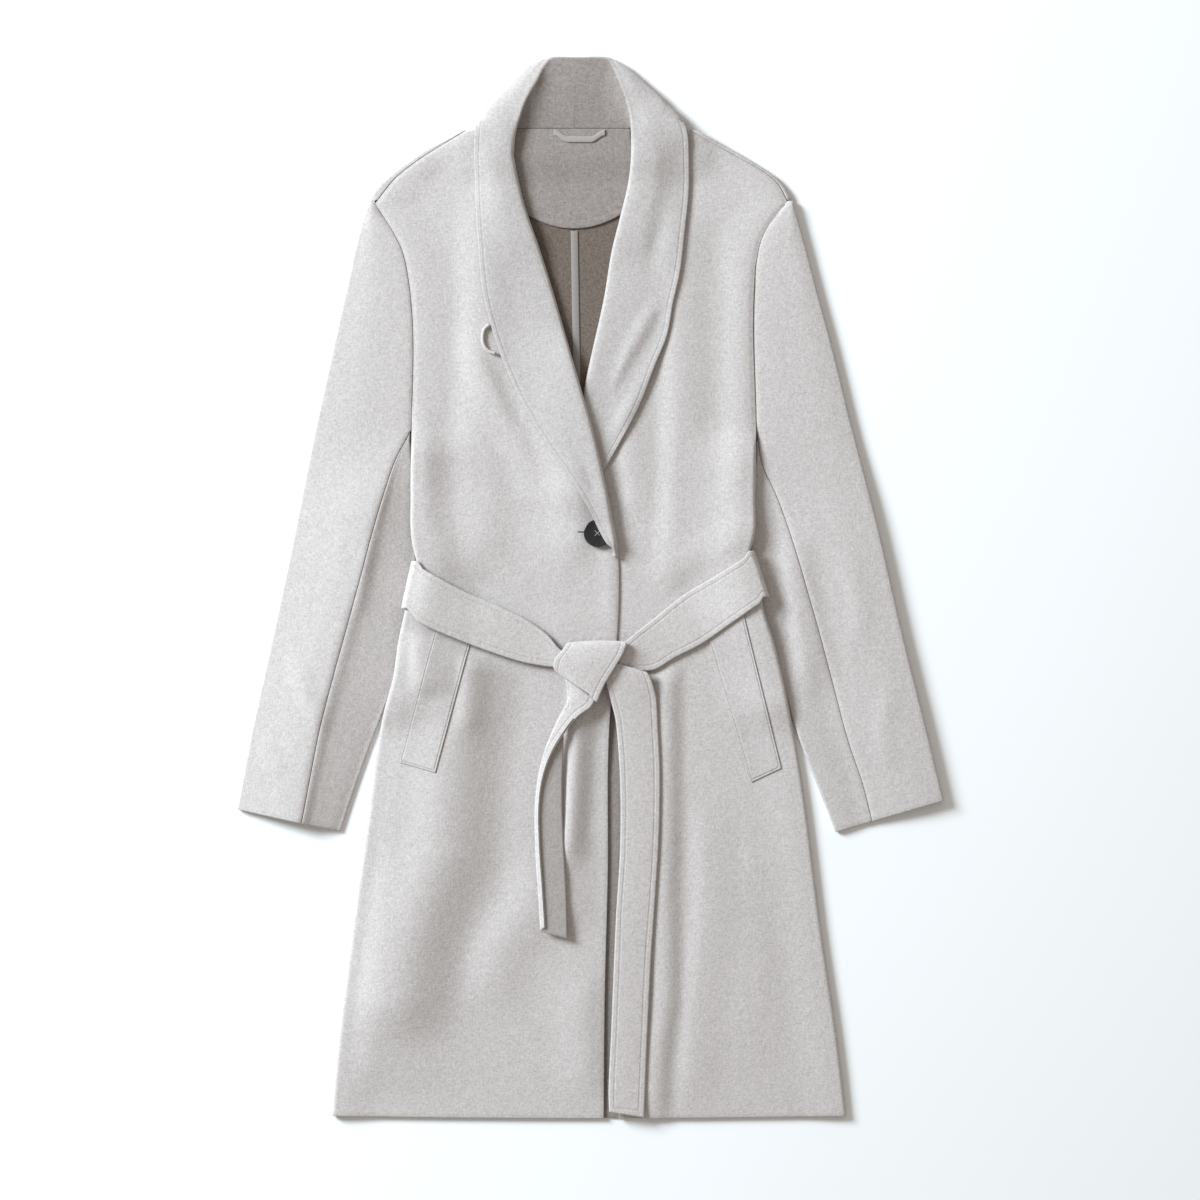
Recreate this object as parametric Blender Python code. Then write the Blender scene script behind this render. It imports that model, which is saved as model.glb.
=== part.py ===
"""Belted wrap coat of felted wool with a shawl collar, laid out flat on its back.

Sizes are in millimetres and become metres when a mesh is made.  X runs across the coat,
Y up the coat from hem to collar and Z up from the surface that it lies on.  Left and right
are the wearer's, so the wearer's right is at -X.
"""
import math

import bpy
import numpy as np

MM = 0.001

# Thickness of the cloth, by piece.
CLOTH = 1.8
COLLAR_CLOTH = 2.4
BELT_CLOTH = 2.6
WELT_CLOTH = 1.4
TAPE = 0.6
SEAM_GAP = 0.5
LAY_GAP = 1.0

# Heights of the middle of each layer above the surface.
BACK_MID = CLOTH / 2
LAYER_STEP = 2.8
FRONT_MID = BACK_MID + LAYER_STEP
SLEEVE_TOP_MID = 4.6
SLEEVE_PUFF = 1.2
EDGE_PUFF = 2.2
SLEEVE_LIFT = 6.4
BELT_LIFT = 3.2
NECK_LIFT = 4.4
FACING_LIFT = 3.2
LAP_LIFT = 3.6
LAPEL_CROSS_LIFT = 5.6

# Driving places along Y.
HEM_Y = -530.5
UNDERARM_Y = 157.5
SHOULDER_TIP_Y = 383.0
NECK_Y = 456.0
BREAK_Y = 38.0
HEM_SMILE = 2.6
HEM_HALF_WIDTH = 257.0

# Rolls at the body's sides and at the shoulders.
SIDE_ROLL = 2.5
SIDE_RETURN = 4.5
SIDE_REACH = SIDE_ROLL + CLOTH / 2
SHOULDER_ROLL = 2.4

# Rows up the coat that neighbouring pieces share, so that their edges meet.
LOWER_ROWS = (HEM_Y, -462.0, -374.0, -286.0, -204.0, -150.0)
WAIST_ROWS = (-117.5, -88.0, -62.0, -42.0, -23.0, 4.0, 27.0, 38.0, 40.2, 53.0, 66.0, 88.0)
UNDERARM_ROWS = (110.0, 127.0, 143.0)
ARMHOLE_ROWS = (157.5, 190.0, 226.0, 262.0, 297.0, 328.0, 354.0, 382.5)
SHOULDER_ROWS = (384.0, 391.0, 398.0, 414.0, 430.0, 444.0, NECK_Y)

RIGHT = -1
LEFT = 1

# Columns of each outline: height up the coat, then the place across it.
BODY_EDGE = {
    RIGHT: ((-530.5, -258.5), (-462.5, -252.5), (-362.5, -240.5), (-243.5, -224.0),
            (-117.5, -204.5), (-92.5, -197.5), (-52.5, -191.5), (-24.0, -185.3), (26.5, -174.0),
            (44.5, -178.0), (92.5, -179.5), (157.5, -178.5)),
    LEFT: ((-530.5, 256.0), (-462.5, 248.5), (-352.5, 232.5), (-151.5, 204.5), (-121.5, 198.5),
           (-92.5, 192.5), (-52.5, 182.5), (-18.5, 172.0), (-9.5, 170.5), (36.5, 159.6),
           (48.0, 163.0), (92.5, 164.5), (157.5, 165.5)),
}
ARMHOLE = {
    RIGHT: ((157.5, -178.5), (277.5, -178.5), (305.5, -181.5), (342.5, -190.5),
            (363.5, -202.5), (383.0, -215.5)),
    LEFT: ((157.5, 165.5), (296.5, 163.5), (324.5, 165.5), (353.5, 173.5), (372.5, 185.5),
           (383.0, 195.0)),
}
SHOULDER_SEAM = {
    RIGHT: ((383.0, -215.5), (413.0, -190.0), (434.0, -161.0), (458.5, -119.5)),
    LEFT: ((383.0, 198.0), (408.0, 182.0), (435.5, 136.5), (456.5, 97.5)),
}
SHOULDER_OUTLINE = {
    RIGHT: ((383.0, -222.5), (397.5, -215.5), (417.5, -192.5), (437.5, -163.5), (460.5, -117.5)),
    LEFT: ((383.0, 202.5), (397.5, 196.0), (417.5, 173.0), (437.5, 140.5), (460.5, 96.5)),
}
ROLL_LINE = {
    RIGHT: ((19.5, 28.5), (38.0, 27.5), (71.5, 21.5), (114.5, 12.5), (157.5, 2.5),
            (195.5, -8.5), (247.5, -23.5), (289.5, -35.5), (337.5, -50.5), (384.5, -66.5),
            (425.5, -75.5), (442.5, -78.5), (460.0, -77.0)),
    LEFT: ((38.0, -14.5), (71.5, -14.0), (114.5, -12.5), (157.5, -10.0), (197.5, -6.5),
           (230.5, 0.5), (289.5, 13.5), (337.5, 21.5), (369.5, 29.5), (409.5, 38.5),
           (432.5, 40.5), (460.0, 40.0)),
}
FRONT_EDGE = {
    RIGHT: ((-530.5, 13.5), (-412.5, 14.5), (-292.5, 17.5), (-132.5, 19.5), (-52.5, 26.5),
            (-12.5, 28.5), (19.5, 28.5), (38.0, 27.5)),
    LEFT: ((-530.5, 28.0), (-445.0, 30.0), (-370.0, 33.0), (-260.0, 36.0), (-200.0, 32.0),
           (-113.0, 24.0), (-85.0, 5.0), (-40.0, -12.0), (38.0, -14.5)),
}
COLLAR_EDGE = {
    RIGHT: ((33.5, 24.0), (44.5, 15.5), (77.5, -1.5), (109.5, -20.5), (145.5, -45.5),
            (180.5, -66.5), (231.5, -89.5), (261.5, -99.5), (289.5, -106.5), (346.5, -112.5),
            (375.5, -114.5), (413.5, -115.5), (440.5, -116.5)),
    LEFT: ((90.0, 2.0), (115.5, 13.5), (147.5, 31.5), (180.5, 48.5), (228.5, 67.5),
           (247.5, 75.5), (287.5, 83.5), (308.5, 88.5), (356.5, 94.5), (394.5, 98.5),
           (440.5, 98.5)),
}
SLEEVE_EDGE = {
    RIGHT: ((-222.0, -353.5), (-142.5, -338.5), (-42.5, -316.5), (57.5, -295.5),
            (157.5, -275.5), (257.5, -253.5), (297.5, -244.5), (357.5, -230.5), (383.0, -222.5)),
    LEFT: ((-213.0, 353.5), (-142.5, 336.5), (-42.5, 311.5), (57.5, 288.5), (157.5, 262.5),
           (257.5, 237.5), (297.5, 226.5), (357.5, 210.5), (383.0, 203.0)),
}
SLEEVE_SEAM = {
    RIGHT: ((-240.0, -289.0), (-195.5, -280.5), (-144.5, -270.5), (-89.5, -256.5),
            (-31.5, -240.5), (12.5, -228.5), (54.5, -217.5), (98.5, -204.5), (127.5, -194.5),
            (157.5, -179.0)),
    LEFT: ((-240.0, 283.0), (-194.5, 271.5), (-159.5, 259.5), (-89.5, 240.5), (-41.5, 227.5),
           (0.5, 215.5), (31.5, 206.5), (92.5, 185.5), (123.5, 171.5), (157.5, 166.0)),
}
SLEEVE_INNER = {
    RIGHT: ((-250.0, -251.5), (-243.5, -249.5), (-117.5, -204.5), (-95.0, -195.5),
            (-32.5, -182.5), (27.5, -174.5), (87.5, -175.0), (120.0, -177.5), (157.5, -180.0)),
    LEFT: ((-250.0, 246.5), (-244.5, 244.5), (-121.5, 198.5), (-95.0, 191.0), (-37.5, 174.0),
           (27.5, 160.5), (87.5, 160.0), (120.0, 163.5), (157.5, 167.0)),
}
SLEEVE_SLANT = {RIGHT: 0.2115, LEFT: 0.294}
SLEEVE_CUFF_Y = {RIGHT: -221.5, LEFT: -212.5}
UNDER_SLEEVE_TOP = {RIGHT: 144.0, LEFT: 128.0}

# Soft folds of the fronts: path across the cloth (x, y), half width on each side, height.
FOLDS = {
    RIGHT: (
        (((-128.0, 150.0), (-124.0, 80.0), (-120.0, 20.0)), 16.0, 16.0, 2.0),
        (((-72.0, 210.0), (-58.0, 130.0), (-44.0, 60.0), (-24.0, -10.0)), 30.0, 26.0, 2.4),
        (((-96.0, -80.0), (-70.0, -190.0), (-66.0, -250.0), (-104.0, -370.0)), 34.0, 30.0, 3.0),
        (((-40.0, -250.0), (-52.0, -320.0), (-84.0, -420.0), (-110.0, -500.0)), 30.0, 26.0, 2.4),
    ),
    LEFT: (
        (((89.0, -78.0), (84.0, -120.0), (87.0, -255.0), (83.0, -357.0), (72.0, -462.0),
          (70.0, -522.0)), 23.0, 13.0, 4.6),
        (((88.0, 400.0), (92.0, 300.0), (92.0, 180.0), (84.0, 80.0)), 22.0, 22.0, 1.8),
        (((140.0, 330.0), (134.0, 200.0), (128.0, 90.0)), 18.0, 18.0, 1.8),
    ),
}

BELT_BACK_Y = 8.0
BELT_BACK_REACH = 31.0
BELT_MID_STEP = CLOTH / 2 + 0.5 + BELT_CLOTH / 2
BELT_TURN = 5.0


def smooth(value, start, end):
    """0 at start and 1 at end, with soft ends."""
    share = np.clip((np.asarray(value, float) - start) / (end - start), 0.0, 1.0)
    return share * share * (3.0 - 2.0 * share)


def curve(table, at):
    """Read a smooth curve through a table's rows (height, place) at the given heights."""
    keys = np.array([row[0] for row in table], float)
    values = np.array([row[1] for row in table], float)
    slopes = np.gradient(values, keys)
    at = np.clip(np.asarray(at, float), keys[0], keys[-1])
    index = np.clip(np.searchsorted(keys, at) - 1, 0, len(keys) - 2)
    width = keys[index + 1] - keys[index]
    t = (at - keys[index]) / width
    return ((2 * t ** 3 - 3 * t ** 2 + 1) * values[index]
            + (t ** 3 - 2 * t ** 2 + t) * width * slopes[index]
            + (3 * t ** 2 - 2 * t ** 3) * values[index + 1]
            + (t ** 3 - t ** 2) * width * slopes[index + 1])


def front_outer(side, y):
    """Outer boundary of a front: body edge, then armhole, then shoulder seam."""
    y = np.asarray(y, float)
    edge = np.where(y <= UNDERARM_Y, curve(BODY_EDGE[side], y), curve(ARMHOLE[side], y))
    return np.where(y > SHOULDER_TIP_Y, curve(SHOULDER_SEAM[side], y), edge)


def back_outer(side, y):
    """Outer boundary of the back: as the front's, but its shoulder rolls over to the seam."""
    y = np.asarray(y, float)
    return np.where(y > SHOULDER_TIP_Y, curve(SHOULDER_OUTLINE[side], y), front_outer(side, y))


def inward(side, x, y):
    """Distance in from the body's outer boundary."""
    return side * (front_outer(side, y) - x)


def belt_lift(y):
    """Rise of the body over the belt that passes beneath it."""
    off = np.abs(y - BELT_BACK_Y)
    return BELT_LIFT * smooth(off, BELT_BACK_REACH + 26.0, BELT_BACK_REACH)


def neck_lift(x, y):
    """Rise of the body over the collar that is folded under it."""
    return NECK_LIFT * smooth(y, 400.0, 434.0) * smooth(np.abs(x + 10.0), 142.0, 112.0)


def sleeve_lift(y):
    """1 where a sleeve lies under the body's side."""
    return smooth(y, 168.0, 128.0) * smooth(y, -152.0, -112.0)


def back_mid(side, x, y):
    """Height of the back's middle."""
    side_rise = SLEEVE_LIFT * sleeve_lift(y) * smooth(inward(side, x, y), 34.0, 10.0)
    return BACK_MID + neck_lift(x, y) + belt_lift(y) + side_rise


def fold(x, y, path, before, after, height):
    """A soft ridge along a path, steeper on the side where its half width is less."""
    best = np.full(np.shape(x), 1e9)
    signed = np.zeros(np.shape(x))
    along = np.zeros(np.shape(x))
    count = len(path) - 1
    for number in range(count):
        (x0, y0), (x1, y1) = path[number], path[number + 1]
        length = math.hypot(x1 - x0, y1 - y0)
        ux, uy = (x1 - x0) / length, (y1 - y0) / length
        t = np.clip(((x - x0) * ux + (y - y0) * uy) / length, 0.0, 1.0)
        dx = x - x0 - t * ux * length
        dy = y - y0 - t * uy * length
        distance = np.hypot(dx, dy)
        nearer = distance < best
        best = np.where(nearer, distance, best)
        signed = np.where(nearer, dy * ux - dx * uy, signed)
        along = np.where(nearer, (number + t) / count, along)
    half = np.where(signed > 0.0, after, before)
    across = 0.5 + 0.5 * np.cos(np.pi * np.clip(best / half, 0.0, 1.0))
    ends = smooth(along, 0.0, 0.22) * smooth(along, 1.0, 0.8)
    return height * across * ends


def front_mid(side, x, y):
    """Height of a front's middle."""
    x = np.asarray(x, float)
    y = np.asarray(y, float)
    inner = inward(side, x, y)
    height = FRONT_MID + neck_lift(x, y) + belt_lift(y)
    height = height + EDGE_PUFF * smooth(inner, 50.0, 8.0)
    height = height + SLEEVE_LIFT * sleeve_lift(y) * smooth(inner, 75.0, 12.0)
    from_roll = side * (x - curve(ROLL_LINE[side], y))
    height = height + FACING_LIFT * smooth(y, 315.0, 355.0) * smooth(from_roll, 48.0, 20.0)
    if side == RIGHT:
        under = curve(FRONT_EDGE[LEFT], np.minimum(y, BREAK_Y))
        lap = smooth(y, -195.0, -125.0) * smooth(y, 260.0, 205.0)
        height = height + LAP_LIFT * lap * smooth(x, under - 48.0, under - 6.0)
        cross = smooth(y, 62.0, 98.0) * smooth(y, 272.0, 222.0)
        height = height + LAPEL_CROSS_LIFT * cross * smooth(x, -72.0, -20.0)
    for path, before, after, rise in FOLDS[side]:
        height = height + fold(x, y, path, before, after, rise)
    return height


def resample(points, counts):
    """Walk a smooth curve through points, with a set number of steps for each stretch."""
    points = np.asarray(points, float)
    padded = np.vstack([2 * points[0] - points[1], points, 2 * points[-1] - points[-2]])
    walked = [points[0]]
    for number, steps in enumerate(counts):
        p0, p1, p2, p3 = padded[number:number + 4]
        m1 = (p2 - p0) / 2
        m2 = (p3 - p1) / 2
        span = np.linalg.norm(p2 - p1)
        m1 = m1 * min(1.0, span / max(np.linalg.norm(m1), 1e-6))
        m2 = m2 * min(1.0, span / max(np.linalg.norm(m2), 1e-6))
        for step in range(1, steps + 1):
            t = step / steps
            walked.append((2 * t ** 3 - 3 * t ** 2 + 1) * p1 + (t ** 3 - 2 * t ** 2 + t) * m1
                          + (3 * t ** 2 - 2 * t ** 3) * p2 + (t ** 3 - t ** 2) * m2)
    return np.array(walked)


def spread(points, count):
    """Space a polyline's points evenly."""
    points = np.asarray(points, float)
    steps = np.linalg.norm(np.diff(points, axis=0), axis=1)
    walked = np.concatenate([[0.0], np.cumsum(steps)])
    targets = np.linspace(0.0, walked[-1], count)
    return np.column_stack([np.interp(targets, walked, points[:, axis])
                            for axis in range(points.shape[1])])


def surface_material(name, colour, roughness):
    """A plain Principled surface."""
    material = bpy.data.materials.new(name)
    material.use_nodes = True
    shader = material.node_tree.nodes["Principled BSDF"]
    shader.inputs["Base Color"].default_value = (*colour, 1.0)
    shader.inputs["Roughness"].default_value = roughness
    shader.inputs["Metallic"].default_value = 0.0
    return material


WOOL = ((0.70, 0.675, 0.645), 0.92)
WOOL_INSIDE = ((0.23, 0.19, 0.16), 0.95)
TAPE_COLOUR = ((0.52, 0.47, 0.42), 0.7)
BUTTON_COLOUR = ((0.012, 0.012, 0.013), 0.25)


def closed_mesh(name, points, faces, look):
    """Make one closed body in metres with its faces pointing out."""
    mesh = bpy.data.meshes.new(name)
    mesh.from_pydata([tuple(float(v) * MM for v in point) for point in points], [], faces)
    volume = 0.0
    for polygon in mesh.polygons:
        corners = [mesh.vertices[index].co for index in polygon.vertices]
        for number in range(1, len(corners) - 1):
            volume += corners[0].dot(corners[number].cross(corners[number + 1]))
    if volume < 0.0:
        mesh.flip_normals()
    mesh.materials.append(surface_material(name, *look))
    item = bpy.data.objects.new(name, mesh)
    bpy.context.scene.collection.objects.link(item)
    mesh.shade_smooth()
    mesh.set_sharp_from_angle(angle=math.radians(50.0))
    return item


def directions(grid, axis):
    """Mean direction of the two steps that meet at each point along one axis."""
    steps = np.diff(grid, axis=axis)
    steps /= np.maximum(np.linalg.norm(steps, axis=2, keepdims=True), 1e-9)
    first = np.take(steps, [0], axis=axis)
    last = np.take(steps, [-1], axis=axis)
    return np.concatenate([first, steps], axis=axis) + np.concatenate([steps, last], axis=axis)


def wall(name, grid, thickness, look):
    """A cloth wall about a grid of middle points, kept level with the surface beneath."""
    grid = np.asarray(grid, float)
    normals = np.cross(directions(grid, 0), directions(grid, 1))
    normals /= np.maximum(np.linalg.norm(normals, axis=2, keepdims=True), 1e-9)
    rows, columns = grid.shape[:2]
    points = np.concatenate([(grid + normals * thickness / 2).reshape(-1, 3),
                             (grid - normals * thickness / 2).reshape(-1, 3)])
    points[:, 2] = np.maximum(points[:, 2], 0.0)
    other = rows * columns
    faces = []
    for row in range(rows - 1):
        for column in range(columns - 1):
            a = row * columns + column
            b, c, d = a + 1, a + columns + 1, a + columns
            faces.append((a, b, c, d))
            faces.append((other + d, other + c, other + b, other + a))
    rim = [column for column in range(columns)]
    rim += [row * columns + columns - 1 for row in range(1, rows)]
    rim += [(rows - 1) * columns + column for column in range(columns - 2, -1, -1)]
    rim += [row * columns for row in range(rows - 2, 0, -1)]
    for number, a in enumerate(rim):
        b = rim[(number + 1) % len(rim)]
        faces.append((b, a, other + a, other + b))
    return closed_mesh(name, points, faces, look)


def hem_shift(x, y):
    """The hem's ends lie a little higher than its middle."""
    return HEM_SMILE * (x / HEM_HALF_WIDTH) ** 2 * smooth(y, -440.0, HEM_Y)


def turned_path(flat, turned, begun, share, count):
    """An edge that starts flat and then rolls on round; share says how far round it goes."""
    turned = np.asarray(turned, float)
    steps = np.linalg.norm(np.diff(turned, axis=0), axis=1)
    walked = np.concatenate([[0.0], np.cumsum(steps)])
    flat_length = abs(flat[-1][0] - flat[0][0])
    reach = flat_length + share * (walked[-1] - flat_length)
    targets = np.linspace(0.0, reach, count)
    rolled = np.column_stack([np.interp(targets, walked, turned[:, axis]) for axis in (0, 1)])
    return (1.0 - begun) * spread(flat, count) + begun * rolled


def side_turn(y):
    """0 along the armhole, where the cloth just ends, and 1 down the side."""
    return float(smooth(y, UNDERARM_Y - 8.0, UNDERARM_Y - 70.0))


def front_side_path(side, y, count):
    """Middle of the front round the body's side at one height, from the top to the seam."""
    edge = float(front_outer(side, y))
    start = edge - side * 13.0
    tip = edge - side * SEAM_GAP / 2
    xs = np.linspace(start, tip, count)
    flat = np.column_stack([xs, front_mid(side, xs, np.full(count, y))])
    low = float(back_mid(side, edge - side * (SIDE_REACH + SIDE_RETURN), y))
    top = float(front_mid(side, edge - side * 8.0, y))
    turned = [(start, float(front_mid(side, start, y)))]
    for step in range(9):
        angle = math.pi * step / 8
        x = edge - side * (SIDE_REACH - SIDE_ROLL * math.sin(angle))
        turned.append((x, low + (top - low) * (1.0 + math.cos(angle)) / 2))
    turned.append((edge - side * (SIDE_REACH + SIDE_RETURN), low))
    begun = float(smooth(y, UNDERARM_Y, UNDERARM_Y - 30.0))
    return turned_path(flat, turned, begun, side_turn(y), count)


def front_inner(side, y):
    """Inner boundary of a front: its edge, then just outside the roll of the collar."""
    y = np.asarray(y, float)
    edge = curve(FRONT_EDGE[side], np.minimum(y, BREAK_Y))
    roll = curve(ROLL_LINE[side], np.maximum(y, BREAK_Y)) + side * (FOLD_REACH + SEAM_GAP)
    share = smooth(y, BREAK_Y, BREAK_Y + 2.0)
    return edge * (1.0 - share) + roll * share + side * 1.6 * smooth(y, 424.0, 444.0)


def panel_row(side, y, turned, inner, height_of, across):
    """One row of a panel: its turned edge, then flat across to its inner boundary."""
    shares = np.linspace(0.0, 1.0, across + 1)[1:] ** 1.2
    xs = turned[-1, 0] + (inner - turned[-1, 0]) * shares
    flat = np.column_stack([xs, height_of(side, xs, np.full(len(xs), y))])
    line = np.vstack([turned, flat])
    return np.column_stack([line[:, 0], y + hem_shift(line[:, 0], y), line[:, 1]])


def front_grid(side, across=9, turned=7):
    """Middle points of a front panel, from the side seam to the front edge."""
    rows = []
    for y in LOWER_ROWS + WAIST_ROWS + UNDERARM_ROWS + ARMHOLE_ROWS + SHOULDER_ROWS:
        path = front_side_path(side, y, turned)[::-1]
        rows.append(panel_row(side, y, path, float(front_inner(side, y)), front_mid, across))
    return np.array(rows)


def back_seam_x(y):
    """Place of the centre-back seam."""
    return -1.0 - 16.4 * (np.asarray(y, float) - HEM_Y) / (NECK_Y - HEM_Y)


def back_edge_path(side, y, count):
    """Middle of the back by its outer edge, from the flat part outward.

    Down the side it stops at the side seam; at the shoulder it rolls forward to the seam.
    """
    seam = float(curve(SHOULDER_SEAM[side], y)) + side * 3.0 * SEAM_GAP
    edge = float(back_outer(side, y))
    if y > SHOULDER_TIP_Y:
        edge = side * max(side * edge, side * seam + SHOULDER_ROLL + CLOTH)
    stop = edge - side * (SEAM_GAP / 2 + (SIDE_REACH + SIDE_RETURN + SEAM_GAP) * side_turn(y))
    start = stop - side * 13.0
    xs = np.linspace(start, stop, count)
    flat = np.column_stack([xs, back_mid(side, xs, np.full(count, y))])
    if y <= SHOULDER_TIP_Y:
        return flat
    low = float(back_mid(side, edge - side * 8.0, y))
    top = float(front_mid(side, seam - side * 2.0, y))
    turned = [(start, float(back_mid(side, start, y)))]
    for step in range(9):
        angle = math.pi * step / 8
        x = edge - side * (CLOTH / 2 + SHOULDER_ROLL * (1.0 - math.sin(angle)))
        turned.append((x, low + (top - low) * (1.0 - math.cos(angle)) / 2))
    if side * turned[-1][0] > side * seam:
        turned.append((seam, top))
    begun = float(smooth(y, SHOULDER_TIP_Y, SHOULDER_TIP_Y + 9.0))
    return turned_path(flat, turned, begun, float(smooth(y, SHOULDER_TIP_Y - 6.0, 414.0)), count)


def back_grid(side, across=6, turned=7):
    """Middle points of a back half, from its outer edge to the centre-back seam."""
    rows = []
    for y in LOWER_ROWS + WAIST_ROWS + UNDERARM_ROWS + ARMHOLE_ROWS + SHOULDER_ROWS:
        path = back_edge_path(side, y, turned)[::-1]
        inner = float(back_seam_x(y)) + side * SEAM_GAP / 2
        rows.append(panel_row(side, y, path, inner, back_mid, across))
    return np.array(rows)


def sleeve_row(side, edge_y):
    """Outer edge, seam, inner edge and hidden seam of a sleeve on one slanted row."""
    slant = SLEEVE_SLANT[side] * smooth(edge_y, UNDERARM_Y, SLEEVE_CUFF_Y[side])
    outer_x = float(curve(SLEEVE_EDGE[side], edge_y))

    def meet(table):
        x = outer_x
        for _ in range(6):
            y = edge_y - slant * abs(x - outer_x)
            x = float(curve(table, y))
        return x, edge_y - slant * abs(x - outer_x)

    if edge_y >= UNDERARM_Y:
        x = float(curve(ARMHOLE[side], edge_y))
        return (outer_x, edge_y), (x, edge_y), (x, edge_y), (x, edge_y)
    seam = meet(SLEEVE_SEAM[side])
    inner = meet(SLEEVE_INNER[side])
    share = 1.0 - 0.5 * float(smooth(edge_y, UNDERARM_Y, 40.0))
    hidden_x = outer_x + share * (inner[0] - outer_x)
    hidden_x = side * max(side * hidden_x, side * inner[0] + 7.0)
    return (outer_x, edge_y), seam, inner, (hidden_x, edge_y - slant * abs(hidden_x - outer_x))


def sleeve_top(side, x, y, edge_x):
    """Height of a sleeve's upper layer: soft edge, slight swell, level with the armhole."""
    swell = SLEEVE_PUFF * smooth(np.abs(x - edge_x), 2.0, 30.0)
    return SLEEVE_TOP_MID + swell + 0.1 * smooth(y, 110.0, UNDERARM_Y)


def sleeve_section(side, start, edge, end, y_of, cols):
    """Upper layer from a seam to an edge, round it, and back along the underside."""
    half = CLOTH / 2
    toward = 1.0 if edge > start else -1.0
    width = abs(edge - start)
    radius = min(1.85, max((width - half) / 2, 0.3))
    flat_top = np.linspace(start, edge - toward * (half + radius), cols[0] + 1)
    rows = [(x, y_of(x), float(sleeve_top(side, x, y_of(x), edge))) for x in flat_top]
    top = rows[-1][2]
    for step in range(1, cols[1] + 1):
        angle = math.pi * step / cols[1]
        x = edge - toward * (half + radius * (1.0 - math.sin(angle)))
        z = BACK_MID + (top - BACK_MID) * (1.0 + math.cos(angle)) / 2
        rows.append((x, y_of(x), z))
    for x in np.linspace(edge - toward * (half + radius), end, cols[2] + 1)[1:]:
        rows.append((x, y_of(x), BACK_MID))
    return rows


def sleeve_grids(side):
    """Middle points of a sleeve's upper and under pieces."""
    heights = ARMHOLE_ROWS[::-1] + (143.0, 127.0, 110.0, 85.0, 50.0, 10.0, -30.0, -75.0, -120.0,
                                    -168.0, SLEEVE_CUFF_Y[side])
    upper, under = [], []
    for edge_y in heights:
        outer, seam, inner, hidden = sleeve_row(side, edge_y)
        slope = (seam[1] - outer[1]) / (seam[0] - outer[0])

        def y_of(x, outer=outer, slope=slope):
            return outer[1] + slope * (x - outer[0])

        gap = side * SEAM_GAP / 2
        upper.append(sleeve_section(side, seam[0] + gap, outer[0], hidden[0] + gap,
                                    y_of, (3, 6, 2)))
        if edge_y < UNDER_SLEEVE_TOP[side]:
            under.append(sleeve_section(side, seam[0] - gap, inner[0], hidden[0] - gap,
                                        y_of, (2, 6, 2)))
    return np.array(upper), np.array(under)


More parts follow.
